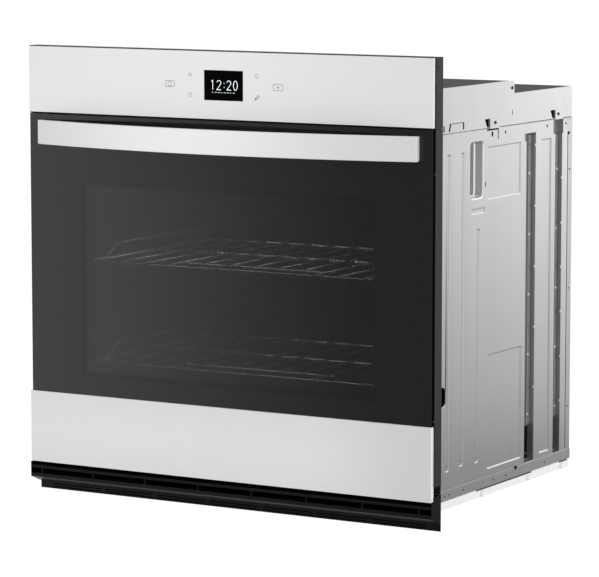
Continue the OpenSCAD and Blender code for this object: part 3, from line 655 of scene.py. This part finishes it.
def side_forms():
    """Everything pressed and cut in one side panel."""
    lip_r, foot_r = 2.4, 2.6
    # the lip and foot rings take material 2, the brighter copy of the sheet: painted highlight on the
    # pocket's bends
    lip = [(-lip_r * math.sin(a), lip_r * (1 - math.cos(a)), 2) for a in QUARTER]
    foot = [(foot_r * (math.cos(a) - 1) - lip_r, POCKET_D - foot_r * (1 - math.sin(a)), 2)
        for a in QUARTER]
    # the pocket's floor takes material 3, the darker copy of the sheet: painted shade
    pocket = Form(box_outline(133.5, 183.5, 487, 582), 10.0,
        (*lip, (-lip_r, POCKET_D - foot_r, 2), *foot), inner=3)
    gap = [(193, 594.5), (231.5, 594.5), (231.5, 579), (234.5, 579), (234.5, 597.2), (193, 597.2)]
    slit = [(491.6, 33), (494.2, 33), (494.2, 568), (500.5, 571), (500.5, 574), (491.6, 574)]
    return (
        bead(54, 68, 59, 566, 4.5, inside=(hole(61, 68, 1.3),)),
        bead(102, 116, 61, 566, 4.5, inside=(hole(109, 70, 1.3),)),
        bead(156, 170, 58, 440, 4.5, inside=(hole(163, 67, 1.3),)),
        bead(138, 188, 463, 473, 4.2, 1.2),
        bead(195, 317, 483, 569, 3.2),
        bead(200, 324, 42, 231, 3.2),
        bead(392, 430, 39, 568, 3.2),
        pocket,
        channel(CHANNEL_1, (337.2, 370.8), (357, 370.9), 578),
        channel(CHANNEL_2, (446.2, 470.8), (461, 470.9), 571),
        Form(box_outline(30, 56, 165, 198), 12.0, ((-0.6, 0.5, 0), (-0.8, 1.2, 1)), False),
        Form(gap, 0.5, floor=False, steps=2),
        Form(slit, 0.6, floor=False, steps=2),
        Form(box_outline(187.5, 190.5, 505, 513), 1.4, floor=False),
        Form(box_outline(209, 215, 584, 593), 2.9, floor=False),
        *[hole(y, PAN_HOLE_Z, 2.4) for y in PAN_HOLES],
        Form(box_outline(298.5, 310, 24.0, 31.5), 0.6, floor=False, steps=2),
        *[hole(y, 588.3, 2.5) for y in (259, 413, 485)],
        *[hole(500, z, 1.8) for z in (105, 308, 510)],
    )


RIVET = ((0, 1.7), (1.4, 1.6), (2.6, 1.15), (3.4, 0.4), (3.6, 0.0), (3.6, -1.0))
# rivets on the strips and lanced lugs beside the channels: y of each row, then its heights
RIVET_ROWS = ((361.0, (512, 411, 310, 210, 109)), (464.5, (512, 412, 311, 210, 109)))
LUG_ROWS = ((372.0, (560, 459, 358, 257, 156)), (472.0, (498, 422, 347, 271, 195, 119)))


def chassis_side(side, word):
    """One side: the pressed panel, its upper part with two lapped tabs, and the channel fixings."""
    place = on_side(side)
    out = (side, 0, 0)
    lo, hi = corners("side_panel_right")
    panel = Form(box_outline(lo.y, hi.y, lo.z, hi.z), 0.8, inside=side_forms())

    def flared(y, z, depth):
        """The rear strip of the panel leans out a little."""
        return place(y, z, depth - 0.08 * max(0.0, y - 494.5))

    sheet("side_sheet_" + word, (panel,), flared, out, SHEET, "chassis",
        ("galvanised", "shadowed_sheet", "highlit_bend", "shaded_pocket_floor"), ("side_panel_" + word,))

    upper = [(0, UPPER_Z), (508, UPPER_Z), (508, 650), (290, 650), (290, 671), (0, 671)]
    lances = (
        Form([(42.6, 601.5), (46.6, 601.5), (46.6, 612), (42.6, 612)], 1.6, floor=False),
        Form([(60.0, 601.5), (65.0, 601.5), (68.8, 613.0), (108.6, 613.0), (108.6, 602.5),
            (113, 602.5), (113, 614), (64.2, 614)], 0.35, floor=False, steps=2),
        Form([(282.5, 615), (285, 615), (285, 623), (282.5, 623)], 1.1, floor=False),
        *[Form([(t - 7, 600), (t - 0.6, 600), (t - 0.6, 613.8), (t - 15, 613.4)], 0.5, floor=False,
            steps=2) for t in (200, 440)],
    )
    body = Form(upper, 1.0, inside=lances)
    tabs = [Form(box_outline(y0, y1, 597.4, 614), 1.4, ((0.0, 0.0, 0),)) for y0, y1 in
        ((200, 233), (440, 469))]
    sheet("upper_sheet_" + word, (body,), place, out, SHEET, "chassis",
        ("galvanised",), ("upper_side_" + word,))
    sheet("seam_tabs_" + word, tabs, lambda y, z, depth: place(y, z, depth - TAB_LIFT), out,
        TAB_LIFT - 0.15, "chassis", ("galvanised",), edge=0.5)

    bm = bmesh.new()
    for y, heights in RIVET_ROWS:
        for z in heights:
            lathe(bm, RIVET, (side * (SIDE_X - STRIP_D), y, z), out, 16)
    for y, heights in LUG_ROWS:
        for z in heights:
            lug = rounded(box_outline(y - 6.0, y + 2.0, z - 2.2, z + 2.2), 1.2)
            ring = [[bm.verts.new((side * (SIDE_X + x), p.x, p.y)) for p in lug] for x in (0, 1.1)]
            for k in range(len(lug)):
                n = (k + 1) % len(lug)
                bm.faces.new((ring[0][k], ring[0][n], ring[1][n], ring[1][k]))
            bm.faces.new(ring[0])
            bm.faces.new(ring[1])
    bmesh.ops.recalc_face_normals(bm, faces=bm.faces)
    bevelled(piece("channel_fixings_" + word, bm, "chassis", ("rivet_steel",)), 0.3)


def screw(bm, at, axis, head=3.6, height=2.6, shank=6.0):
    """Hex washer-head screw: a dished washer, six flats and a shank."""
    axis = Vector(axis)
    washer = ((head + 0.9, -0.05), (head + 1.0, 0.3), (head + 0.7, 0.7), (head, 0.8))
    lathe(bm, ((0, -0.05), *washer), at, axis, 24)
    flats = ((head, 0.8), (head, height - 0.3), (head - 0.5, height), (head - 1.2, height - 0.25),
        (0, height - 0.3))
    lathe(bm, flats, at, axis, 6)
    lathe(bm, ((1.9, -0.05), (1.9, -shank), (1.2, -shank - 1.0), (0, -shank - 1.2)), at, axis, 12)


# y, z and how far each stands off the side
SIDE_SCREWS = ((218, 606.6, TAB_LIFT), (451, 606.5, TAB_LIFT), (282, 659, 0.0))


def screws():
    """The screws of both upper sides, and the smaller ones that close the back."""
    bm = bmesh.new()
    for side in (RIGHT, LEFT):
        for y, z, lift in SIDE_SCREWS:
            screw(bm, (side * (SIDE_X + lift), y, z), (side, 0, 0), 1.9, 2.0)
    bmesh.ops.recalc_face_normals(bm, faces=bm.faces)
    piece("side_screws", bm, "chassis", ("black_screw",), ("body_screws",))

    bm = bmesh.new()
    back = corners("rear_panel")[1].y
    for x in (-345, -115, 115, 345):
        for z in (30, 636):
            screw(bm, (x, back, z), (0, 1, 0), 3.0, 2.2)
    for z in (170, 320, 470):
        for x in (-345, 345):
            screw(bm, (x, back, z), (0, 1, 0), 3.0, 2.2)
    box_lo, box_hi = corners("junction_box")
    for x, way in ((box_lo.x, -1), (box_hi.x, 1)):
        screw(bm, (x, box_hi.y - 12, (box_lo.z + box_hi.z) / 2), (way, 0, 0), 2.6, 2.0, 4.0)
    bmesh.ops.recalc_face_normals(bm, faces=bm.faces)
    piece("rear_screws", bm, "chassis", ("bare_steel",))


def base():
    """The tray under the chassis with its flanges, and the bosses on the base rails."""
    lo, hi = corners("base_pan")
    holes = [hole(y, PAN_HOLE_Z, 1.8) for y in PAN_HOLES]
    notched = [(lo.y, lo.z), (hi.y, lo.z), (hi.y, hi.z), (466, hi.z), (463.5, hi.z - 4.5),
        (461, hi.z), (309, hi.z), (309, 27.2), (299.5, 24.8), (299.5, hi.z), (lo.y, hi.z)]
    strip = Form(notched, 0.4, inside=holes, steps=2)
    for side, word in ((RIGHT, "right"), (LEFT, "left")):
        made = sheet("pan_flange_" + word, (strip,),
            lambda y, z, depth, side=side: (side * (hi.x - depth), y, z), (side, 0, 0), 1.0,
            "chassis", ("galvanised",))
        if side == RIGHT:
            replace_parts(made, "base_pan")
    ribs = [bead(x - 30, x + 30, 60, 450, 12, 1.0, 4.0) for x in (-250, -125, 0, 125, 250)]
    bottom = Form(box_outline(lo.x + 1.3, hi.x - 1.3, lo.y, hi.y), 1.0, inside=ribs)
    sheet("pan_bottom", (bottom,), lambda x, y, depth: (x, y, lo.z + depth), (0, 0, -1), 1.0,
        "chassis", ("galvanised",))

    rail_x = corners("base_frame")[1].x
    bm = bmesh.new()
    boss = ((0, 9.4), (5.6, 9.2), (6.6, 8.4), (7.0, 7.2), (7.0, 1.2), (6.2, 0.3), (0, 0.2))
    for side in (RIGHT, LEFT):
        for y in (184, 352, 480):
            lathe(bm, boss, (side * (rail_x - 2.0), y, 0), (0, 0, 1), 24)
    bmesh.ops.recalc_face_normals(bm, faces=bm.faces)
    piece("rail_bosses", bm, "chassis", ("rail_paint",))


def notch_pads():
    """Painted shade: black pads in the notches beside the door hinges, and black strips in the gap
    between the pan and the base rails, put where these openings show only shade.
    """
    bm = bmesh.new()
    rail = corners("base_frame")[1]
    pan = corners("base_pan")[0]
    # black strips in the gap between the pan and the rails: painted shade
    for side in (RIGHT, LEFT):
        xs = sorted((side * (rail.x - 3.5), side * (rail.x - 2.0)))
        block(bm, (xs[0], 1.5, pan.z - 2.95), (xs[1], rail.y - 1.5, pan.z - 0.05))
    # black pads in the notches beside the hinges: painted shade
    for side in (RIGHT, LEFT):
        outline = [(side * x, z) for x, z in box_outline(354.5, 380.8, 34.7, 49.9)]
        face, front = ([bm.verts.new((x, y, z)) for x, z in outline] for y in (-0.4, -1.4))
        for k in range(4):
            n = (k + 1) % 4
            bm.faces.new((face[k], face[n], front[n], front[k]))
        bm.faces.new(face)
        bm.faces.new(front)
    bmesh.ops.recalc_face_normals(bm, faces=bm.faces)
    bevelled(piece("notch_pads", bm, "chassis", ("black_plastic",)), 0.3)


def vent_liner():
    """Thin black sheet behind the vent's slots, with shallow ribs pressed in: painted shade, a dark
    sheet put behind the slots so they read as shadow.
    """
    lo = corners("vent_trim")[0]
    half_w = 358.0
    gap = 0.03
    ribs = [bead(x - 34, x + 34, -20, 10, 6, 0.03, 3.0) for x in range(-300, 301, 100)]
    plate = Form(box_outline(-half_w, half_w, lo.z + 1, 14.4), 1.0, inside=ribs)
    sheet("vent_liner", (plate,), lambda x, z, depth: (x, gap + depth, z), (0, -1, 0), 0.1,
        "chassis", ("shade_black",), edge=0)


# ---------------------------------------------------------------- door and console


def handle():
    """Bowed handle: one flat strip, its ends turned back to the glass."""
    lo, hi = corners("handle_bar")
    glass = corners("door_outer_glass")[0].y
    thick = 8.0
    half_w = hi.x
    bow = 46.0
    outer_r = (half_w ** 2 + bow ** 2) / (2 * bow)
    centre_y = lo.y + outer_r
    mid_r = outer_r - thick / 2
    end_x = half_w - thick / 2
    sweep_to = math.asin((end_x - 0.01) / mid_r)
    steps = 48
    arc = [Vector((mid_r * math.sin(sweep_to * (2 * k / steps - 1)),
        centre_y - mid_r * math.cos(sweep_to * (2 * k / steps - 1)), 0)) for k in range(steps + 1)]
    path = [Vector((-end_x, glass, 0)), *arc, Vector((end_x, glass, 0))]
    mid_z = (lo.z + hi.z) / 2
    for point in path:
        point.z = mid_z
    half_h = (hi.z - lo.z) / 2
    section = box_outline(-thick / 2, thick / 2, -half_h, half_h)
    bm = bmesh.new()
    sweep(bm, path, section, up=(0, 0, 1))
    bmesh.ops.recalc_face_normals(bm, faces=bm.faces)
    made = piece("handle_strip", bm, "door", ("handle_paint",),
        ("handle_bar", "handle_mounts"), 40.0)
    bevelled(made, 1.8, 4)


INK = 0.08  # thickness of a printed line


def ribbon(bm, path, width, y, closed=False):
    """A thin printed line, (x, z) points on the plane y."""
    half = width / 2
    section = [(-half, 0), (half, 0), (half, INK), (-half, INK)]
    sweep(bm, [(x, y, z) for x, z in path], section, closed, (0, -1, 0))


def ring_path(x, z, radius, count=28):
    """A round mark's (x, z) points."""
    return [(x + radius * math.cos(math.tau * k / count), z + radius * math.sin(math.tau * k / count))
        for k in range(count)]


def box_path(x0, x1, z0, z1, radius=1.4):
    """A rounded box's (x, z) points."""
    return [tuple(p) for p in rounded(box_outline(x0, x1, z0, z1), radius)]


def touch_marks():
    """The plain marks printed on the control panel."""
    face = corners("control_panel")[0].y
    line = 0.8
    bm = bmesh.new()
    for x0, x1 in ((-111, -94), (91.6, 109)):
        ribbon(bm, box_path(x0, x1, 663, 673), line, face, closed=True)
    ribbon(bm, ring_path(-102.5, 668, 3.7), 0.95, face, closed=True)
    ribbon(bm, ring_path(100.3, 668, 0.9, 12), 1.6, face, closed=True)
    ribbon(bm, ring_path(-64, 683.6, 2.9), 0.5, face, closed=True)
    ribbon(bm, ring_path(-64, 683.6, 0.8, 12), 0.7, face, closed=True)
    ribbon(bm, ring_path(-64, 651.6, 3.4), 0.6, face, closed=True)
    ribbon(bm, [(-64, 651.6), (-64, 655.6)], 0.6, face)
    ribbon(bm, ring_path(61, 685.4, 3.0), 0.6, face, closed=True)
    ribbon(bm, [(59.8, 681.2), (62.2, 681.2)], 0.8, face)
    pen = [(58.3, 649.2), (63.7, 654.6), (65.6, 652.7), (60.2, 647.3)]
    ribbon(bm, pen, 1.0, face, closed=True)
    ribbon(bm, [pen[0], (57.2, 646.2), pen[3]], 0.9, face)
    bmesh.ops.recalc_face_normals(bm, faces=bm.faces)
    piece("touch_marks", bm, "chassis", ("grey_print",))


def oval(x, z, half_w, half_h, start, end, count):
    """Points along an oval from one angle in degrees to another."""
    turn = math.radians(end - start) / count
    first = math.radians(start)
    return [(x + half_w * math.cos(first + turn * k), z + half_h * math.sin(first + turn * k))
        for k in range(count + 1)]


# the clock's digits in a cell 4.3 wide and 8 high
DIGITS = {
    "0": oval(2.1, 4, 2.0, 4.0, 0, 345, 23),
    "1": [(1.2, 6.9), (2.6, 8), (2.6, 0)],
    "2": oval(2.1, 5.9, 2.0, 2.1, 165, -35, 14) + [(0, 0), (4.3, 0)],
}


def clock():
    """Thin lit digits and a row of small bars, behind the display's face."""
    face = corners("display_window")[0].y
    tall = 14.8 / 8
    bm = bmesh.new()
    for digit, x in zip("1220", (-26.0, -13.6, 5.2, 17.4)):
        path = [(x + a * tall, 661 + b * tall) for a, b in DIGITS[digit]]
        ribbon(bm, path, 0.92, face, closed=digit == "0")
    for z in (665.2, 671.6):
        ribbon(bm, ring_path(0.2, z, 0.35, 10), 0.6, face, closed=True)
    for k in range(8):
        x = -22.7 + 5.6 * k
        ribbon(bm, [(x, 656.5), (x + (3.6 if k % 3 else 2.4), 656.5)], 0.6, face)
    bmesh.ops.recalc_face_normals(bm, faces=bm.faces)
    piece("clock_digits", bm, "chassis", ("clock_light",))


# ---------------------------------------------------------------- cavity


def rack(word, body):
    """Chromed rack: a bent outer frame, cross wires, a grid over them, and two raised side rails."""
    lo, hi = corners("rack_" + word)
    frame_r, side_r, grid_r = 3.2, 3.4, 2.0
    z = lo.z + side_r
    half_w = hi.x - side_r
    y0, y1 = lo.y + side_r, hi.y - side_r
    gap_hw, gap_y = 125.0, 75.0
    bm = bmesh.new()
    loop = [(-half_w, y0), (half_w, y0), (half_w, y1), (-half_w, y1)]
    sweep(bm, [(p.x, p.y, z) for p in rounded(loop, 9.0, 0.0, 6)], circle(frame_r), closed=True,
        up=(0, 0, 1))
    wire(bm, [(-half_w, 228, z), (half_w, 228, z)], frame_r)
    wire(bm, [(-gap_hw - 20, gap_y, z), (gap_hw + 20, gap_y, z)], frame_r)
    count = 13
    margin = 22.0
    pitch = 2 * (half_w - margin) / (count - 1)
    top = z + frame_r + grid_r - 0.7
    rail_z = z + 27
    for k in range(count):
        x = -half_w + margin + pitch * k
        start = (gap_y if abs(x) < gap_hw else y0) - 1.5
        path = [(x, start, top - 1.6), (x, start + 3.5, top), (x, y1 - 2.0, top),
            (x, y1 + 1.5, top - 1.6)]
        wire(bm, fillet(path, 2.2, 3), grid_r, 10)
    for side in (RIGHT, LEFT):
        x = side * half_w
        path = [(x, 77, z + 1.0), (x, 108, rail_z), (x, 400, rail_z), (x, 400, z + 1.0)]
        wire(bm, fillet(path, 6.0, 6), 2.8)
    bmesh.ops.recalc_face_normals(bm, faces=bm.faces)
    piece("rack_wires_" + word, bm, body, ("bright_wire",),
        ("rack_" + word, "rack_rails_" + word))


def gasket():
    """Braided tube round the cavity mouth."""
    lo, hi = corners("door_gasket")
    inset = (hi.y - lo.y) / 2 + 1.0
    mid_y = (lo.y + hi.y) / 2
    outline = box_outline(lo.x + inset, hi.x - inset, lo.z + inset, hi.z - inset)
    corner_points = rounded(outline, 20.0, 0.0, 10)
    path = []
    for a, b in zip(corner_points, corner_points[1:] + corner_points[:1]):
        pieces = max(1, int((b - a).length / 6))
        path += [a.lerp(b, k / pieces) for k in range(pieces)]
    section = [(u * 1.35, v) for u, v in circle((hi.y - lo.y) / 2, 16)]
    bm = bmesh.new()
    sweep(bm, [(p.x, mid_y, p.y) for p in path], section, closed=True, up=(0, 1, 0))
    bmesh.ops.recalc_face_normals(bm, faces=bm.faces)
    piece("gasket_tube", bm, "chassis", ("seal",), ("door_gasket",), 60.0)


def insulation():
    """Wool blankets round the cavity, their faces quilted and uneven."""
    source = frame["nodes"]["insulation"]
    bm = bmesh.new()
    bm.from_mesh(source.data)
    bmesh.ops.remove_doubles(bm, verts=bm.verts, dist=1e-6)
    bmesh.ops.scale(bm, vec=(1 / MM, 1 / MM, 1 / MM), verts=bm.verts)
    bmesh.ops.dissolve_limit(bm, angle_limit=0.01, verts=bm.verts, edges=bm.edges)
    bmesh.ops.triangulate(bm, faces=bm.faces)
    for _ in range(6):
        long_edges = [e for e in bm.edges if e.calc_length() > 26]
        if not long_edges:
            break
        bmesh.ops.subdivide_edges(bm, edges=long_edges, cuts=1)
        bmesh.ops.triangulate(bm, faces=bm.faces)
    bm.normal_update()
    for vert in bm.verts:
        swell = noise.noise(vert.co * 0.03) + 0.5 * noise.noise(vert.co * 0.09)
        vert.co -= vert.normal * (1.4 + 1.2 * swell)
    piece("wool_blankets", bm, "chassis", ("fibre",), ("insulation",), 80.0)


# ---------------------------------------------------------------- the whole oven

for side, word in ((RIGHT, "right"), (LEFT, "left")):
    chassis_side(side, word)
screws()
base()
vent_liner()
notch_pads()
handle()
touch_marks()
clock()
rack("upper", "upper_rack")
rack("lower", "lower_rack")
gasket()
insulation()

# nodes that look unlike their material slot; the top covers take a darker copy of the galvanised
# sheet: painted shade
SPECIAL = {"door_outer_glass": "door_glass", "base_frame": "rail_paint",
    "top_cover_front": "shaded_top_sheet", "top_cover_rear": "shaded_top_sheet",
    "display_window": "display_glass"}
stood_for = {n for o in bpy.context.scene.objects for n in o.get("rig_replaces", [])}
for part in frame["record"]["subparts"]:
    if part["node"] not in stood_for:
        dress(part["node"], SPECIAL.get(part["node"], part["material_slot"]))


# ---------------------------------------------------------------- studio, in metres

WORLD = 0.9  # strength of the white surroundings
LENS = 196.3
CAMERA_AT = (2.735, -4.4805, 0.9936)
CAMERA_DOWN, CAMERA_ROUND = 7.121, 30.237  # how far the camera looks down and round, in degrees

# name, place, aim, size and power, and whether reflections see the lamp
ROOM_LAMPS = (
    ("key", (0.05, -1.3, 1.1), (0, 0, 0.5), (0.6, 0.4), 3.5, False),
    ("right", (2.6, 0.35, 0.8), (0.4, 0.3, 0.4), (1.2, 1.2), 30, False),
    ("rear", (1.6, 1.8, 1.7), (0.3, 0.3, 0.4), (1.2, 1.2), 14, True),
)
RACKS = ("rack_wires_upper", "rack_wires_lower")
# lamps that light only the named pieces: place, aim, size and power
LINKED_LAMPS = (
    ("racks_front", RACKS, (-0.1, 0.05, 0.53), (-0.1, 0.13, 0.36), (1.0, 0.05), 0.7),
    ("racks_rear", RACKS, (-0.1, 0.345, 0.54), (-0.1, 0.345, 0.3), (1.0, 0.075), 1.0),
    ("racks_low", RACKS, (-0.1, 0.05, 0.33), (-0.1, 0.11, 0.19), (1.0, 0.05), 0.2),
    ("panel_fill", ("control_panel",), (-0.05, -0.33, 0.5), (-0.05, 0, 0.66), (0.4, 0.1), 0.3),
    ("skin_fill", ("door_lower_trim",), (-0.175, -0.33, 0.085), (-0.175, 0, 0.085), (0.85, 0.1),
        0.087),
    ("handle_fill", ("handle_strip",), (-0.06, -0.45, 0.58), (-0.06, 0, 0.58), (0.25, 0.1), 0.62),
)
SKIN_SPREAD = 50  # degrees


def card(name, place, columns, rows, tone):
    """A glowing panel that only reflections see: tone(s, t) is its brightness over its face."""
    bm = bmesh.new()
    layer = bm.loops.layers.float_color.new("tone")
    grid = [[bm.verts.new(place(s / columns, t / rows)) for s in range(columns + 1)]
        for t in range(rows + 1)]
    share = {v: (k % (columns + 1), k // (columns + 1)) for k, v in
        enumerate(v for row in grid for v in row)}
    for t in range(rows):
        for s in range(columns):
            quad = (grid[t][s], grid[t][s + 1], grid[t + 1][s + 1], grid[t + 1][s])
            for loop in bm.faces.new(quad).loops:
                across, up = share[loop.vert]
                loop[layer] = colour(tone(across / columns, up / rows))
    mesh = bpy.data.meshes.new(name)
    bm.to_mesh(mesh)
    bm.free()
    g = Graph(name)
    tones = g.node("VertexColor", {"layer_name": "tone"}).outputs["Color"]
    mesh.materials.append(g.done(g.node("Emission", Color=tones, Strength=1.0).outputs[0]))
    made = bpy.data.objects.new(name, mesh)
    bpy.context.scene.collection.objects.link(made)
    made.visible_camera = False
    made.visible_diffuse = False
    made.visible_shadow = False
    made.visible_transmission = False
    return made


def smooth(t):
    """A soft step from 0 to 1 as t goes from 0 to 1."""
    t = min(1.0, max(0.0, t))
    return t * t * (3 - 2 * t)


def area_light(name, at, towards, size, power):
    """A rectangular lamp of size metres and power watts."""
    data = bpy.data.lights.new(name, "AREA")
    data.shape = "RECTANGLE"
    data.size, data.size_y = size
    data.energy = power
    made = bpy.data.objects.new(name, data)
    made.location = at
    made.rotation_euler = (Vector(towards) - Vector(at)).to_track_quat("-Z", "Y").to_euler()
    made.visible_camera = False
    bpy.context.scene.collection.objects.link(made)
    return made


def studio():
    """Plain white surroundings, a pale floor, soft lights, and cards for the glass and the zinc."""
    world = bpy.data.worlds.new("white_room")
    bpy.context.scene.world = world
    world.use_nodes = True
    background = world.node_tree.nodes["Background"]
    background.inputs["Color"].default_value = colour(1.0)
    background.inputs["Strength"].default_value = WORLD

    bm = bmesh.new()
    bmesh.ops.create_grid(bm, x_segments=4, y_segments=4, size=60.0)
    mesh = bpy.data.meshes.new("studio_floor")
    bm.to_mesh(mesh)
    bm.free()
    floor = bpy.data.objects.new("studio_floor", mesh)
    floor.location.z = cad_box[0].z - 0.0005
    bpy.context.scene.collection.objects.link(floor)
    g = Graph("studio_floor")
    soft = g.node("BsdfDiffuse", Color=0.85).outputs[0]
    glow = g.node("Emission", Color=1.0, Strength=1.06).outputs[0]
    made = g.node("MixShader")
    for index, part in enumerate((0.94, soft, glow)):
        g.set(made.inputs[index], part)
    mesh.materials.append(g.done(made.outputs[0]))
    floor.visible_glossy = False

    card("glass_card", lambda s, t: (-3.6 + 4.4 * s, -2.6, -1.4 + 4.0 * t), 44, 8,
        lambda s, t: 1.15 - 0.9 * smooth((s * 4.4 - 3.6 + 2.3) / 1.3) + 0.06 * (1 - t))
    card("side_card", lambda s, t: (1.05, 0.2 + 2.6 * s, -0.9 + 2.2 * t), 8, 22,
        lambda s, t: (0.45 + 0.8 * smooth(((t * 2.2 - 0.9) + 0.25) / 1.0))
        * (0.5 + 0.93 * smooth((s * 2.6 - 0.5) / 1.8)))
    card("under_card", lambda s, t: (0.37 + 1.8 * s, -0.3 + 2.2 * t, -0.02), 16, 8,
        lambda s, t: (0.36 + 0.5 * smooth(s)) * (0.62 + 0.8 * smooth((t * 2.2 - 0.7) / 1.4)))
    for name, at, towards, size, power, mirrored in ROOM_LAMPS:
        area_light(name, at, towards, size, power).visible_glossy = mirrored
    for name, lit_pieces, at, towards, size, power in LINKED_LAMPS:
        light = area_light(name, at, towards, size, power)
        chosen = bpy.data.collections.new(name)
        for lit_piece in lit_pieces:
            chosen.objects.link(bpy.data.objects[lit_piece])
        light.light_linking.receiver_collection = chosen
        light.light_linking.blocker_collection = chosen
        light.visible_glossy = lit_pieces == RACKS
    bpy.data.lights["skin_fill"].spread = math.radians(SKIN_SPREAD)


studio()

camera_data = bpy.data.cameras.new("camera")
camera_data.lens = LENS
camera_data.sensor_width = 36.0
camera_data.clip_end = 200.0
camera = bpy.data.objects.new("camera", camera_data)
camera.location = CAMERA_AT
camera.rotation_euler = (math.radians(90 - CAMERA_DOWN), 0.0, math.radians(CAMERA_ROUND))
bpy.context.scene.collection.objects.link(camera)
bpy.context.scene.camera = camera
bpy.context.scene.view_settings.view_transform = "Standard"
